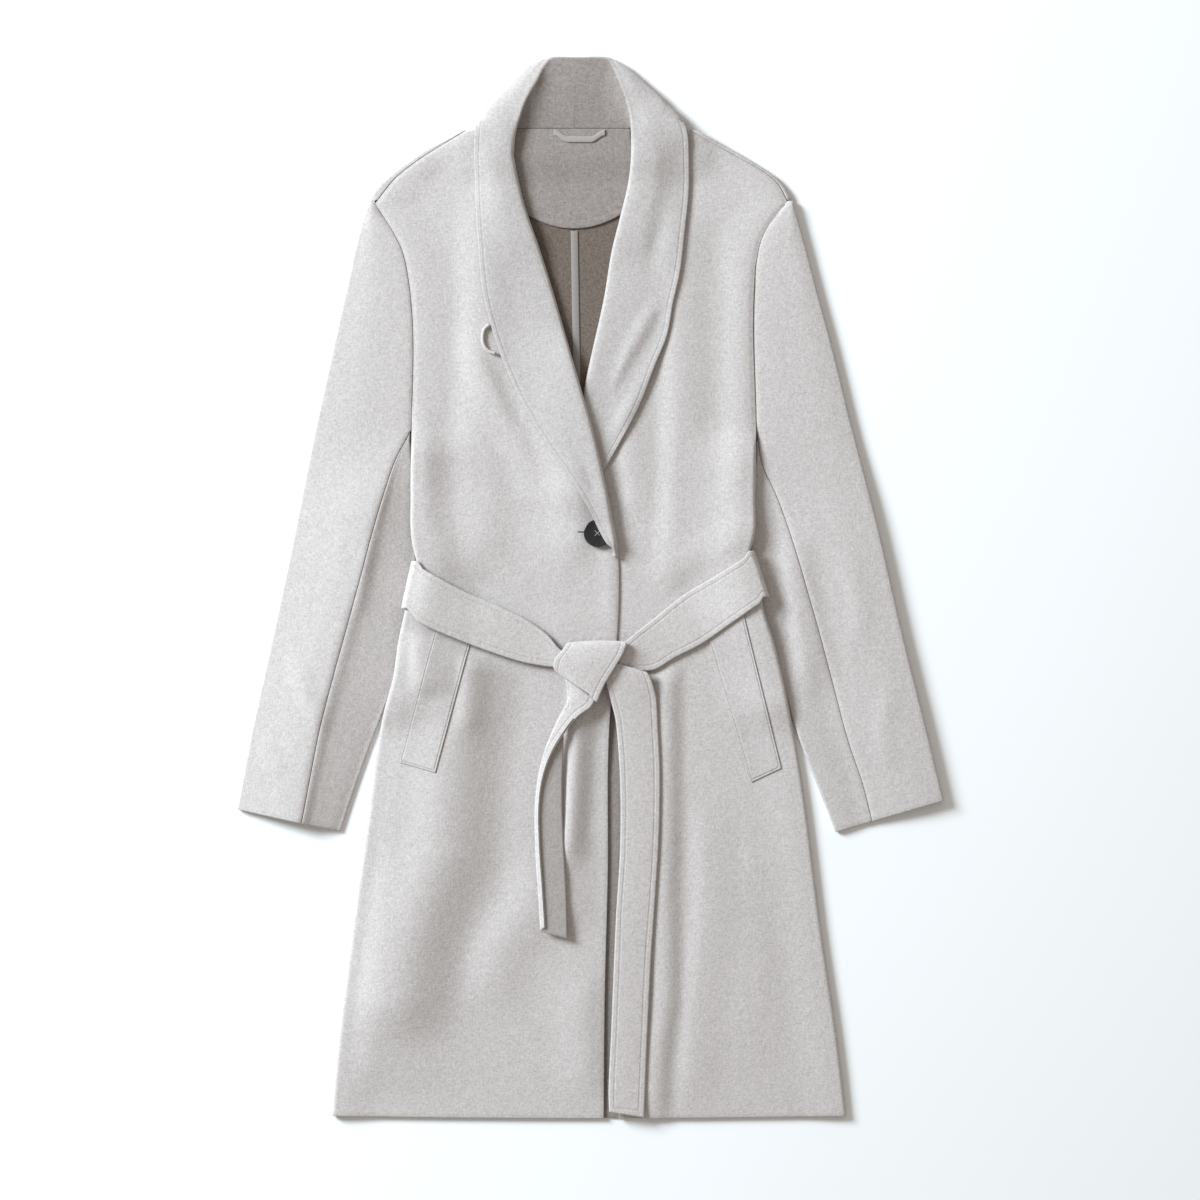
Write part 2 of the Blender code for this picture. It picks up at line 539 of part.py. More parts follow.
# Collar where it goes round the neck.  Columns: seam at the neck, roll, then four places on
# the fall from its crown over the outline to its outer edge, each as (x, y, z).
NECK_STATIONS = {
    RIGHT: (
        ((-82.4, 443.0, 11.3), (-76.9, 442.5, 15.0), (-90.0, 446.0, 17.2), (-101.0, 448.0, 16.4),
         (-110.0, 449.0, 15.4), (-115.5, 449.0, 15.0)),
        ((-81.8, 451.0, 11.2), (-75.4, 455.0, 16.2), (-90.0, 459.5, 17.6), (-101.0, 461.5, 16.4),
         (-109.5, 462.5, 15.0), (-113.5, 462.5, 13.2)),
        ((-77.0, 458.0, 8.8), (-71.8, 468.0, 16.0), (-88.0, 474.0, 15.4), (-101.0, 475.5, 12.8),
         (-107.0, 472.5, 8.0), (-104.0, 461.5, 2.0)),
        ((-72.0, 458.0, 7.4), (-65.5, 487.0, 14.2), (-80.0, 489.0, 12.6), (-92.5, 488.4, 8.4),
         (-91.0, 486.0, 2.6), (-94.0, 450.0, 1.6)),
        ((-64.0, 458.0, 6.9), (-54.5, 507.0, 11.4), (-66.0, 507.6, 10.0), (-75.3, 506.6, 6.2),
         (-73.0, 503.0, 2.0), (-76.0, 448.0, 1.6)),
        ((-52.0, 458.0, 6.8), (-46.5, 521.5, 7.4), (-52.0, 523.0, 6.2), (-57.5, 522.4, 4.0),
         (-55.5, 516.5, 1.8), (-56.0, 447.0, 1.6)),
        ((-42.0, 458.0, 6.8), (-38.5, 528.8, 5.0), (-42.0, 528.2, 2.8), (-43.0, 521.0, 1.7),
         (-43.0, 508.0, 1.6), (-42.0, 446.5, 1.6)),
        ((-19.4, 458.0, 6.8), (-15.4, 528.9, 3.9), (-15.4, 519.0, 1.6), (-15.4, 506.0, 1.6),
         (-15.4, 478.0, 1.6), (-15.4, 446.0, 1.6)),
        ((-17.4, 458.0, 6.8), (-13.4, 528.9, 3.9), (-13.4, 519.0, 1.6), (-13.4, 506.0, 1.6),
         (-13.4, 478.0, 1.6), (-13.4, 446.0, 1.6)),
    ),
    LEFT: (
        ((44.4, 443.0, 11.3), (42.0, 442.5, 15.0), (60.0, 446.0, 17.2), (76.0, 448.0, 16.4),
         (90.0, 449.0, 15.4), (97.6, 449.0, 15.0)),
        ((44.4, 451.0, 11.2), (41.9, 455.0, 16.2), (59.0, 459.5, 17.6), (75.0, 461.5, 16.4),
         (88.0, 462.5, 15.0), (93.4, 462.5, 13.2)),
        ((42.0, 458.0, 8.8), (41.2, 467.0, 16.0), (57.0, 474.0, 15.4), (74.0, 475.5, 12.8),
         (86.0, 472.5, 8.0), (84.0, 461.5, 2.0)),
        ((37.0, 458.0, 7.4), (37.4, 483.0, 14.2), (50.0, 486.5, 12.6), (70.6, 487.0, 8.4),
         (70.0, 484.0, 2.6), (73.0, 450.0, 1.6)),
        ((29.0, 458.0, 6.9), (30.5, 502.0, 11.4), (42.0, 504.0, 10.0), (53.5, 503.5, 6.2),
         (51.5, 499.0, 2.0), (54.0, 448.0, 1.6)),
        ((18.0, 458.0, 6.8), (22.5, 520.5, 7.4), (28.0, 522.0, 6.2), (33.0, 521.2, 4.0),
         (31.5, 515.5, 1.8), (34.0, 447.0, 1.6)),
        ((10.0, 458.0, 6.8), (15.5, 528.8, 5.0), (19.0, 528.2, 2.8), (20.0, 521.0, 1.7),
         (20.5, 508.0, 1.6), (20.0, 446.5, 1.6)),
        ((-14.2, 458.0, 6.8), (-10.4, 528.9, 3.9), (-10.4, 519.0, 1.6), (-10.4, 506.0, 1.6),
         (-10.4, 478.0, 1.6), (-10.4, 446.0, 1.6)),
        ((-16.6, 458.0, 6.8), (-12.6, 528.9, 3.9), (-12.6, 519.0, 1.6), (-12.6, 506.0, 1.6),
         (-12.6, 478.0, 1.6), (-12.6, 446.0, 1.6)),
    ),
}
NECK_STATION_STEPS = (1, 1, 2, 2, 2, 2, 2, 1, 1)
FOLD_RADIUS = 2.3
FOLD_REACH = 4.6
BUTTON_AT = (7.0, 54.0)
BUTTON_RADIUS = 13.7
BUTTON_THICK = 3.4
COLLAR_STEPS = (1, 2, 2, 2, 1, 1, 1)
COLLAR_FOOT = {RIGHT: 40.9, LEFT: 98.0}


def lapel_controls(side, y):
    """Eight guide points of the collar lying on a front at one height."""
    roll = float(curve(ROLL_LINE[side], y))
    edge = float(curve(COLLAR_EDGE[side], y))
    half = COLLAR_CLOTH / 2
    base_z = float(front_mid(side, roll + side * (FOLD_REACH + SEAM_GAP), y))
    step = CLOTH / 2 + LAY_GAP + half
    lift = BUTTON_THICK + 1.0 if side == RIGHT else 0.0
    lift *= float(smooth(y, 106.0, 68.0))
    soft = 0.3 + 1.6 * float(smooth(y, 200.0, 330.0))
    fold_top = max(base_z + step + lift + 0.8, base_z + 2 * FOLD_RADIUS)
    points = [(roll + side * FOLD_REACH, y, base_z),
              (roll + side * (half + 1.0), y, base_z + 0.3),
              (roll + side * half, y, (base_z + fold_top) / 2),
              (roll + side * 3.4, y, fold_top - 0.2)]
    reach = side * (edge - roll)
    for share, swell in ((0.36, 1.0), (0.58, 0.8), (0.8, 0.4), (1.0, 0.0)):
        x = roll + side * (4.4 + share * max(reach - 4.4, 3.6))
        points.append((x, y, float(front_mid(side, x, y)) + step + lift + soft * swell))
    return np.array(points)


def neck_controls(station):
    """Eight guide points of the collar at a station round the neck."""
    base, roll, crown = (np.array(point, float) for point in station[:3])
    to_base = (base - roll) / np.linalg.norm(base - roll)
    to_crown = (crown - roll) / np.linalg.norm(crown - roll)
    sharp = (1.0 + float(to_base @ to_crown)) / 2.0
    across = to_crown - to_base * float(to_base @ to_crown)
    across /= max(np.linalg.norm(across), 1e-6)
    inner = roll + to_base * FOLD_RADIUS - across * FOLD_RADIUS * sharp
    outer = roll + to_crown * FOLD_RADIUS + across * FOLD_RADIUS * sharp
    return np.array([base, inner, roll, outer, *station[2:]])


def collar_grid(side):
    """Middle points of a collar half: up the lapel, then round to the centre back."""
    rows = WAIST_ROWS + UNDERARM_ROWS + ARMHOLE_ROWS[:-1] + (384.0, 398.0, 414.0, 430.0)
    heights = [COLLAR_FOOT[side]] + [y for y in rows if y > COLLAR_FOOT[side] + 5.0]
    controls = [lapel_controls(side, y) for y in heights]
    stations = [controls[-1]] + [neck_controls(row) for row in NECK_STATIONS[side]]
    stations = np.array(stations)
    fan = [resample(stations[:, column], NECK_STATION_STEPS) for column in range(8)]
    rows = controls[:-1] + list(np.array(fan).transpose(1, 0, 2))
    return np.array([resample(row, COLLAR_STEPS) for row in rows])


def facing_grid():
    """Middle points of the back neck facing, with its curved lower edge."""
    rows = []
    for share in np.linspace(0.0, 1.0, 7):
        row = []
        for across in np.linspace(0.0, 1.0, 13):
            y = NECK_Y - share * 90.0
            x = 0.0
            for _ in range(4):
                tuck = 5.0 * float(smooth(y, 450.0, 420.0))
                left = float(curve(ROLL_LINE[RIGHT], y)) - tuck
                right = float(curve(ROLL_LINE[LEFT], y)) + tuck
                x = left + across * (right - left)
                low = 358.5 + 14.0 * ((x + 16.5) / 47.0) ** 2
                y = NECK_Y + share * (low - NECK_Y)
            side = RIGHT if x < -17.0 else LEFT
            row.append((x, y, float(back_mid(side, x, y)) + CLOTH + 0.5))
        rows.append(row)
    return np.array(rows)


def tape_grid():
    """Middle points of the tape over the centre-back seam."""
    rows = []
    for y in np.linspace(356.5, 222.0, 8):
        centre = float(back_seam_x(y)) - 0.5
        z = float(back_mid(RIGHT, centre, y)) + CLOTH / 2 + 0.3 + TAPE / 2
        rows.append([(centre + offset, y, z) for offset in (-3.5, 0.0, 3.5)])
    return np.array(rows)


def hanger_grid():
    """Middle points of the hanger loop, hanging from the neck seam over the facing."""
    rows = []
    for share in np.linspace(0.0, 1.0, 13):
        x = -36.5 + 51.0 * share
        dip = 9.5 * float(smooth(share, 0.0, 0.28) * smooth(share, 1.0, 0.72))
        z = float(back_mid(LEFT, x, 450.0)) + 1.5 * CLOTH + 0.5 + 0.4 + 0.5
        top = 455.0 - dip * 0.72
        rows.append([(x, top, z), (x, top - 3.0, z + 0.3), (x, top - 6.0, z)])
    return np.array(rows)


def lapel_loop_points():
    """Route of the small loop at the outer edge of the lapel."""
    base_z = float(front_mid(RIGHT, -104.0, 246.0)) + CLOTH / 2 + 2.1
    plan = ((-101.2, 262.0), (-106.0, 257.5), (-107.6, 250.0), (-106.5, 242.0), (-101.8, 236.0),
            (-95.0, 233.5))
    return [(x, y, base_z) for x, y in plan]


def tube(name, route, radius, sides, look):
    """A closed tube along a route that stays level."""
    route = resample(route, [2] * (len(route) - 1))
    tangents = np.gradient(route, axis=0)
    tangents /= np.linalg.norm(tangents, axis=1, keepdims=True)
    up = np.array([0.0, 0.0, 1.0])
    points, faces = [], []
    for point, tangent in zip(route, tangents):
        outward = np.cross(tangent, up)
        for number in range(sides):
            angle = 2.0 * math.pi * number / sides
            points.append(point + radius * (math.cos(angle) * outward + math.sin(angle) * up))
    for ring in range(len(route) - 1):
        for number in range(sides):
            a = ring * sides + number
            b = ring * sides + (number + 1) % sides
            faces.append((a, b, b + sides, a + sides))
    faces.append(tuple(range(sides))[::-1])
    faces.append(tuple((len(route) - 1) * sides + number for number in range(sides)))
    return closed_mesh(name, points, faces, look)


# Welts: corners (x, y) at the top and bottom of the edge nearer the side and the inner edge.
WELTS = {
    RIGHT: (((-155.5, -46.5), (-190.5, -174.5)), ((-121.0, -61.0), (-154.5, -184.5))),
    LEFT: (((154.0, -33.0), (190.5, -180.5)), ((118.0, -52.5), (160.5, -194.5))),
}


def welt_grid(side):
    """Middle points of a slanted welt lying on a front."""
    (outer_top, outer_low), (inner_top, inner_low) = WELTS[side]
    rows = []
    for share in np.linspace(0.0, 1.0, 9):
        row = []
        for across in np.linspace(0.0, 1.0, 5):
            top = np.array(outer_top) * (1 - across) + np.array(inner_top) * across
            low = np.array(outer_low) * (1 - across) + np.array(inner_low) * across
            x, y = top * (1 - share) + low * share
            z = max(float(front_mid(side, x + dx, y + dy)) for dx in (-7, 0, 7) for dy in (-9, 0, 9))
            z += CLOTH / 2 + SEAM_GAP + WELT_CLOTH / 2
            row.append((x, y, z))
        rows.append(row)
    return np.array(rows)


# Belt runs from the side to the knot.  Columns: upper edge (x, y), lower edge (x, y), height
# of the belt over the front.
BELT_RUNS = {
    RIGHT: (
        ((-178.5, 26.5), (-189.0, -21.0), 0.6),
        ((-160.5, 15.0), (-164.5, -37.5), 3.0),
        ((-111.5, -4.5), (-122.5, -55.5), 3.4),
        ((-76.5, -19.5), (-81.5, -70.5), 3.0),
        ((-49.5, -38.5), (-54.0, -77.0), 2.6),
        ((-31.5, -59.5), (-35.5, -78.5), 3.0),
        ((-16.0, -68.0), (-18.0, -84.0), 3.0),
    ),
    LEFT: (
        ((163.5, 36.5), (178.5, -9.5), 0.6),
        ((147.5, 26.0), (163.5, -17.5), 2.6),
        ((122.5, 8.5), (142.5, -31.5), 3.4),
        ((92.5, -8.5), (116.5, -50.5), 3.4),
        ((65.5, -30.5), (84.5, -68.5), 2.6),
        ((49.5, -41.5), (64.5, -80.5), 2.8),
        ((35.5, -53.0), (47.0, -84.0), 3.6),
        ((24.0, -62.0), (32.0, -88.0), 5.2),
    ),
}


def belt_run_grid(side):
    """Middle points of a belt run: from under the body, round its side, to the knot."""
    rows = []
    columns = 5
    stations = BELT_RUNS[side]
    shares = np.linspace(0.0, 1.0, columns)
    upper0, lower0 = np.array(stations[0][0]), np.array(stations[0][1])
    for angle in (-120.0, -90.0, -55.0, -20.0, 20.0, 55.0, 90.0):
        across, part = math.cos(math.radians(angle)), math.sin(math.radians(max(angle, -90.0)))
        row = []
        for share in shares:
            x0, y = upper0 * (1 - share) + lower0 * share
            edge = float(front_outer(side, y))
            low = float(back_mid(side, edge - side * 8.0, y)) - BELT_MID_STEP
            top = float(front_mid(side, edge - side * 8.0, y)) + BELT_MID_STEP + 0.6
            x = x0 - side * (BELT_CLOTH / 2 + BELT_TURN * (1.0 - across))
            row.append((x, y, (low + top) / 2 + part * (top - low) / 2))
        rows.append(row)
    fine = []
    for column in range(3):
        values = np.array([np.ravel(row[column]) for row in stations], float)
        fine.append(resample(values, [2] * (len(stations) - 1)))
    upper, lower, rise = fine
    for number in range(2, len(upper)):
        row = []
        for share in shares:
            x, y = upper[number] * (1 - share) + lower[number] * share
            bunch = 1.2 * math.sin(math.pi * share) * float(smooth(number, len(upper) - 5, len(upper)))
            z = float(front_mid(side, x, y)) + BELT_MID_STEP + float(rise[number][0]) + bunch
            row.append((x, y, z))
        rows.append(row)
    return np.array(rows)


def belt_back_grid():
    """Middle points of the belt behind the waist, lying under the back."""
    columns = np.linspace(0.0, 1.0, 5)
    rows = []
    reach = BELT_TURN * 1.5 + BELT_CLOTH / 2 + SEAM_GAP
    left_edge = 163.5 - reach
    right_edge = -178.5 + reach
    places = np.concatenate([np.linspace(0.0, 0.16, 7), np.linspace(0.25, 0.75, 5),
                             np.linspace(0.84, 1.0, 7)])
    for share in places:
        row = []
        for across in columns:
            y_right = 26.5 - 47.5 * across
            y_left = 36.5 - 46.0 * across
            x_right = right_edge - 10.5 * across
            x_left = left_edge + 15.0 * across
            x = x_right + share * (x_left - x_right)
            y = y_right + share * (y_left - y_right)
            side = RIGHT if x < 0.0 else LEFT
            edge = float(front_outer(side, y))
            under = float(back_mid(side, x, y))
            end = float(back_mid(side, edge - side * 8.0, y))
            sag = 0.9 * (1.0 - abs(2.0 * (under - BACK_MID - BELT_LIFT) / SLEEVE_LIFT - 1.0) ** 2)
            sag *= float(abs(end - under) > 0.05)
            z = max(BELT_CLOTH / 2, under - BELT_MID_STEP - max(sag, 0.0))
            row.append((x, y, z))
        rows.append(row)
    return np.array(rows)


# Knot and tails.  Columns: one edge (x, y, z), then on the curled tail the bend along its
# middle, and the other edge.
KNOT_ROWS = (
    ((-22.0, -58.5, 14.8), (32.0, -57.5, 15.6)),
    ((-23.0, -56.2, 16.8), (34.0, -55.0, 17.8)),
    ((-24.5, -57.5, 19.2), (35.0, -57.0, 20.0)),
    ((-27.0, -61.0, 21.5), (31.5, -68.0, 23.0)),
    ((-30.0, -65.5, 22.2), (25.0, -82.0, 24.2)),
    ((-32.5, -70.0, 20.6), (16.5, -98.0, 22.4)),
    ((-34.3, -74.3, 18.0), (7.0, -113.8, 19.4)),
)
TAIL_RIGHT_ROWS = (
    ((6.4, -115.0, 19.0), (-14.5, -95.5, 20.0), (-34.6, -75.6, 17.6)),
    ((-1.5, -120.5, 21.0), (-21.0, -103.0, 19.0), (-34.6, -92.0, 15.4)),
    ((-12.0, -128.5, 21.5), (-33.5, -113.0, 17.0), (-30.5, -116.0, 13.4)),
    ((-24.5, -143.5, 21.5), (-40.0, -134.0, 15.5), (-26.5, -136.0, 11.8)),
    ((-38.5, -166.0, 21.0), (-46.3, -162.0, 14.5), (-26.0, -160.0, 11.2)),
    ((-46.5, -192.0, 20.5), (-51.8, -190.0, 14.0), (-27.0, -190.0, 11.0)),
    ((-49.5, -222.0, 20.0), (-54.2, -222.0, 13.8), (-26.5, -222.0, 11.0)),
    ((-48.3, -262.0, 19.5), (-53.5, -262.0, 13.6), (-25.5, -262.0, 11.0)),
    ((-45.5, -300.0, 19.0), (-51.0, -302.0, 13.2), (-23.0, -306.0, 11.0)),
    ((-43.0, -338.5, 18.0), (-48.5, -343.0, 12.6), (-22.5, -350.5, 11.0)),
)
TAIL_LEFT_ROWS = (
    ((12.0, -71.5, 15.0), (56.0, -84.0, 15.6)),
    ((12.0, -75.0, 16.8), (59.0, -88.0, 16.4)),
    ((13.5, -88.0, 17.8), (63.0, -99.0, 14.8)),
    ((20.0, -112.0, 18.4), (66.0, -112.0, 13.0)),
    ((25.5, -136.0, 18.0), (67.5, -140.0, 12.2)),
    ((29.5, -194.0, 17.4), (69.5, -184.0, 11.8)),
    ((29.5, -260.0, 17.0), (68.5, -248.0, 11.6)),
    ((25.5, -327.0, 16.6), (64.5, -312.0, 11.4)),
    ((23.5, -372.0, 16.0), (60.5, -372.0, 11.0)),
    ((20.5, -445.0, 15.0), (56.5, -455.0, 10.8)),
    ((18.0, -500.0, 14.0), (54.5, -505.0, 10.6)),
    ((18.5, -523.0, 13.4), (53.5, -528.8, 10.4)),
)


def strip_grid(table, steps, columns, arch):
    """A strip between two edges, slightly arched across its width."""
    first = resample([row[0] for row in table], [steps] * (len(table) - 1))
    other = resample([row[-1] for row in table], [steps] * (len(table) - 1))
    along = np.gradient((first + other) / 2, axis=0)
    across = other - first
    normal = np.cross(across, along)
    normal /= np.linalg.norm(normal, axis=1, keepdims=True)
    normal *= np.sign(normal[:, 2:3].mean()) if abs(normal[:, 2].mean()) > 1e-6 else 1.0
    rows = []
    for a, b, up in zip(first, other, normal):
        rows.append([a + (b - a) * share + up * arch * math.sin(math.pi * share)
                     for share in np.linspace(0.0, 1.0, columns)])
    return np.array(rows)


def curled_grid(table, steps, columns):
    """A strip that curls over lengthwise: each row walks from one edge round a bend."""
    lines = [resample([row[place] for row in table], [steps] * (len(table) - 1))
             for place in range(3)]
    return np.array([resample(points, [columns // 2] * 2) for points in zip(*lines)])


def make_button():
    """Four-hole button with a raised rim, lying on the front by the break of the lapel."""
    x0, y0 = BUTTON_AT
    turn = np.linspace(0.0, 2.0 * math.pi, 25)
    rim_y = y0 + BUTTON_RADIUS * np.sin(turn)
    rim_z = front_mid(RIGHT, x0 + BUTTON_RADIUS * np.cos(turn), rim_y)
    slope = float(rim_z[6] - rim_z[18]) / (2.0 * BUTTON_RADIUS)
    base = float((rim_z - slope * (rim_y - y0)).max()) + COLLAR_CLOTH / 2 + 0.4
    sides = 28
    profile = ((BUTTON_RADIUS - 1.6, 0.0), (BUTTON_RADIUS, 1.1), (BUTTON_RADIUS, 2.4),
               (BUTTON_RADIUS - 1.1, BUTTON_THICK), (BUTTON_RADIUS - 3.0, BUTTON_THICK - 0.7))
    points, faces = [], []
    for radius, height in profile:
        for number in range(sides):
            angle = 2.0 * math.pi * number / sides
            up = radius * math.sin(angle)
            points.append((x0 + radius * math.cos(angle), y0 + up, base + height + slope * up))
    for ring in range(len(profile) - 1):
        for number in range(sides):
            a = ring * sides + number
            b = ring * sides + (number + 1) % sides
            faces.append((a, b, b + sides, a + sides))
    faces.append(tuple(range(sides))[::-1])
    last = (len(profile) - 1) * sides
    faces.append(tuple(last + number for number in range(sides)))
    button = closed_mesh("button", points, faces, BUTTON_COLOUR)
    for dx, dy in ((-2.6, -2.6), (2.6, -2.6), (2.6, 2.6), (-2.6, 2.6)):
        bpy.ops.mesh.primitive_cylinder_add(
            vertices=10, radius=1.1 * MM, depth=12.0 * MM,
            location=((x0 + dx) * MM, (y0 + dy) * MM, (base + 1.7) * MM))
        cutter = bpy.context.object
        cutter.name = f"hole_{dx:.0f}_{dy:.0f}".replace("-", "m")
        cutter.hide_render = True
        cutter.display_type = "WIRE"
        cut = button.modifiers.new("hole", "BOOLEAN")
        cut.operation = "DIFFERENCE"
        cut.object = cutter
    return button


def clear_scene():
    """Remove whatever the scene holds."""
    for item in list(bpy.data.objects):
        bpy.data.objects.remove(item, do_unlink=True)


def main():
    clear_scene()
    for side, label in ((RIGHT, "right"), (LEFT, "left")):
        wall(f"back_{label}", back_grid(side), CLOTH, WOOL_INSIDE)
        wall(f"front_{label}", front_grid(side), CLOTH, WOOL)
        upper, under = sleeve_grids(side)
        wall(f"sleeve_upper_{label}", upper, CLOTH, WOOL)
        wall(f"sleeve_under_{label}", under, CLOTH, WOOL)
        wall(f"collar_{label}", collar_grid(side), COLLAR_CLOTH, WOOL)
        wall(f"welt_{label}", welt_grid(side), WELT_CLOTH, WOOL)
        wall(f"belt_run_{label}", belt_run_grid(side), BELT_CLOTH, WOOL)
    wall("neck_facing", facing_grid(), CLOTH, WOOL)
    wall("seam_tape", tape_grid(), TAPE, TAPE_COLOUR)
    wall("hanger_loop", hanger_grid(), 1.0, TAPE_COLOUR)
    tube("lapel_loop", lapel_loop_points(), 1.7, 6, WOOL)
    wall("belt_back", belt_back_grid(), BELT_CLOTH, WOOL)
    wall("belt_knot", strip_grid(KNOT_ROWS, 2, 6, 1.5), BELT_CLOTH, WOOL)
    wall("belt_tail_right", curled_grid(TAIL_RIGHT_ROWS, 2, 6), BELT_CLOTH, WOOL)
    wall("belt_tail_left", strip_grid(TAIL_LEFT_ROWS, 2, 5, 2.0), BELT_CLOTH, WOOL)
    make_button()


main()
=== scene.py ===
"""Dressed model of a belted wrap coat of felted wool, laid out flat on its back.

The coat is cut and sewn as the garment is: back halves, fronts, two-piece sleeves, a shawl
collar in two halves, a neck facing, slanted welts, and a belt knotted at the front.  Sizes in
the tables are in millimetres, X across the coat, Y up the coat from hem to collar and Z up
from the surface that it lies on.  Left and right are the wearer's.
"""

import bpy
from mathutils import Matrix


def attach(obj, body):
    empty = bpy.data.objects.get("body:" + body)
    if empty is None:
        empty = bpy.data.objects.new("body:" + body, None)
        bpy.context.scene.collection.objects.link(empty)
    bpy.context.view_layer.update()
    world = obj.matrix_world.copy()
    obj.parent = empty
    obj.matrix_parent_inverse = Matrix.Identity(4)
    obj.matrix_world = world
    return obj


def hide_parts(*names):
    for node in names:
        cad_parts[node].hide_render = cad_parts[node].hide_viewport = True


bl_info = {
    "name": "Belted wrap coat",
    "version": (1, 0, 0),
    "blender": (4, 5, 0),
    "location": "3D View > Sidebar > Coat",
    "description": "Cuts, folds and belts a wrap coat of felted wool, laid out flat",
    "category": "Add Mesh",
}

import math

import bpy
import numpy as np

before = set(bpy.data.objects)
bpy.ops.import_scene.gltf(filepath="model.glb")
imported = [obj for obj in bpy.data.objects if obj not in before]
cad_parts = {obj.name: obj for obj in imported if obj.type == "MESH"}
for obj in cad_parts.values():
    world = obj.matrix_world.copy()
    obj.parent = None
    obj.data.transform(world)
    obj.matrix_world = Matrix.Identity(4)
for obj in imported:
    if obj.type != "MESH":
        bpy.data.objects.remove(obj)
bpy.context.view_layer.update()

MM = 0.001
# Thickness of the cloth, by piece, and the gaps at a seam and between layers.
CLOTH = 1.8
COLLAR_CLOTH = 2.4
BELT_CLOTH = 2.6
WELT_CLOTH = 0.9
TAPE = 0.6
SEAM_GAP = 0.16
LAY_GAP = 1.0

# Heights of the middle of each layer above the surface.
BACK_MID = CLOTH / 2
LAYER_STEP = 2.8
FRONT_MID = BACK_MID + LAYER_STEP
EDGE_PUFF = 2.2
SLEEVE_LIFT = 6.4
BELT_LIFT = 3.2
NECK_LIFT = 4.4
FACING_LIFT = 3.2
LAP_LIFT = 2.0
LAPEL_CROSS_LIFT = 5.2

# Where each of those rises starts and ends, up the coat (Y), across it (X) or in from an edge.
BELT_RISE_REACH = 70.0
NECK_MID_X = -10.0
NECK_RISE = {"y": (400.0, 434.0), "x": (142.0, 112.0)}
SLEEVE_UNDER = ((168.0, 128.0), (-152.0, -112.0))
BACK_SIDE_REACH = (34.0, 10.0)
FRONT_SIDE_REACH = (75.0, 12.0)
EDGE_PUFF_REACH = (50.0, 8.0)
FACING_RISE = {"y": (315.0, 355.0), "roll": (48.0, 20.0)}
LAP_RISE = {"y": ((-195.0, -125.0), (260.0, 205.0)), "edge": (48.0, 6.0)}
CROSS_RISE = {"y": ((62.0, 98.0), (272.0, 222.0)), "x": (-118.0, -8.0)}

# Driving places along Y.
HEM_Y = -530.5
UNDERARM_Y = 157.5
SHOULDER_TIP_Y = 383.0
NECK_Y = 456.0
BREAK_Y = 38.0
HEM_SMILE = 2.6
HEM_HALF_WIDTH = 257.0

# Spacing of the rows up the finer cloth.
STEP = 5.0

# Rolls at the body's sides and at the shoulders: radius, return under the front, how far in
# from an edge a turned row starts, and where the layers' heights are read beside it.
SIDE_ROLL = 2.5
SIDE_RETURN = 4.5
SIDE_REACH = SIDE_ROLL + CLOTH / 2
SHOULDER_ROLL = 2.4
TURN_START = 13.0
LAYER_READ = 8.0

# How much further out a front ends where the collar turns round the neck.
NECK_EASE = 1.6
NECK_EASE_Y = (424.0, 444.0)

# Roll of the collar, the button under its lapel, and the open end of the buttonhole.
FOLD_RADIUS = 2.3
FOLD_REACH = 4.6
BUTTON_AT = (7.0, 54.0)
BUTTON_RADIUS = 13.7
BUTTON_THICK = 3.4
BUTTONHOLE_Y = 55.6
BUTTONHOLE_X = (-13.0, -2.0)

# Rows up the coat that neighbouring pieces share, so that their edges meet.
LOWER_ROWS = (HEM_Y, -462.0, -374.0, -286.0, -204.0, -150.0)
WAIST_ROWS = (-117.5, -88.0, -62.0, -42.0, -23.0, 4.0, 27.0, 38.0, 40.2, 53.0, 66.0, 88.0)
UNDERARM_ROWS = (110.0, 127.0, 143.0)
ARMHOLE_ROWS = (157.5, 190.0, 226.0, 262.0, 297.0, 328.0, 354.0, 382.5)
SHOULDER_ROWS = (384.0, 391.0, 398.0, 414.0, 430.0, 444.0, NECK_Y)

RIGHT = -1
LEFT = 1

# Columns of each outline: height up the coat, then the place across it.
BODY_EDGE = {
    RIGHT: ((-530.5, -258.5), (-462.5, -252.5), (-362.5, -240.5), (-243.5, -224.0),
            (-117.5, -204.5), (-92.5, -197.5), (-52.5, -191.5), (-24.0, -185.3), (26.5, -174.0),
            (44.5, -178.0), (92.5, -179.5), (157.5, -178.5)),
    LEFT: ((-530.5, 256.0), (-462.5, 248.5), (-352.5, 232.5), (-151.5, 204.5), (-121.5, 198.5),
           (-92.5, 192.5), (-52.5, 182.5), (-18.5, 172.0), (-9.5, 170.5), (36.5, 159.6),
           (48.0, 163.0), (92.5, 164.5), (157.5, 165.5)),
}
ARMHOLE = {
    RIGHT: ((157.5, -178.5), (277.5, -178.5), (305.5, -181.5), (342.5, -190.5),
            (363.5, -202.5), (383.0, -215.5)),
    LEFT: ((157.5, 165.5), (296.5, 163.5), (324.5, 165.5), (353.5, 173.5), (372.5, 185.5),
           (383.0, 195.0)),
}
SHOULDER_SEAM = {
    RIGHT: ((383.0, -215.5), (413.0, -190.0), (434.0, -161.0), (458.5, -119.5)),
    LEFT: ((383.0, 198.0), (408.0, 182.0), (435.5, 136.5), (456.5, 97.5)),
}
SHOULDER_OUTLINE = {
    RIGHT: ((383.0, -222.5), (397.5, -215.5), (417.5, -192.5), (437.5, -163.5), (460.5, -117.5)),
    LEFT: ((383.0, 202.5), (397.5, 196.0), (417.5, 173.0), (437.5, 140.5), (460.5, 96.5)),
}
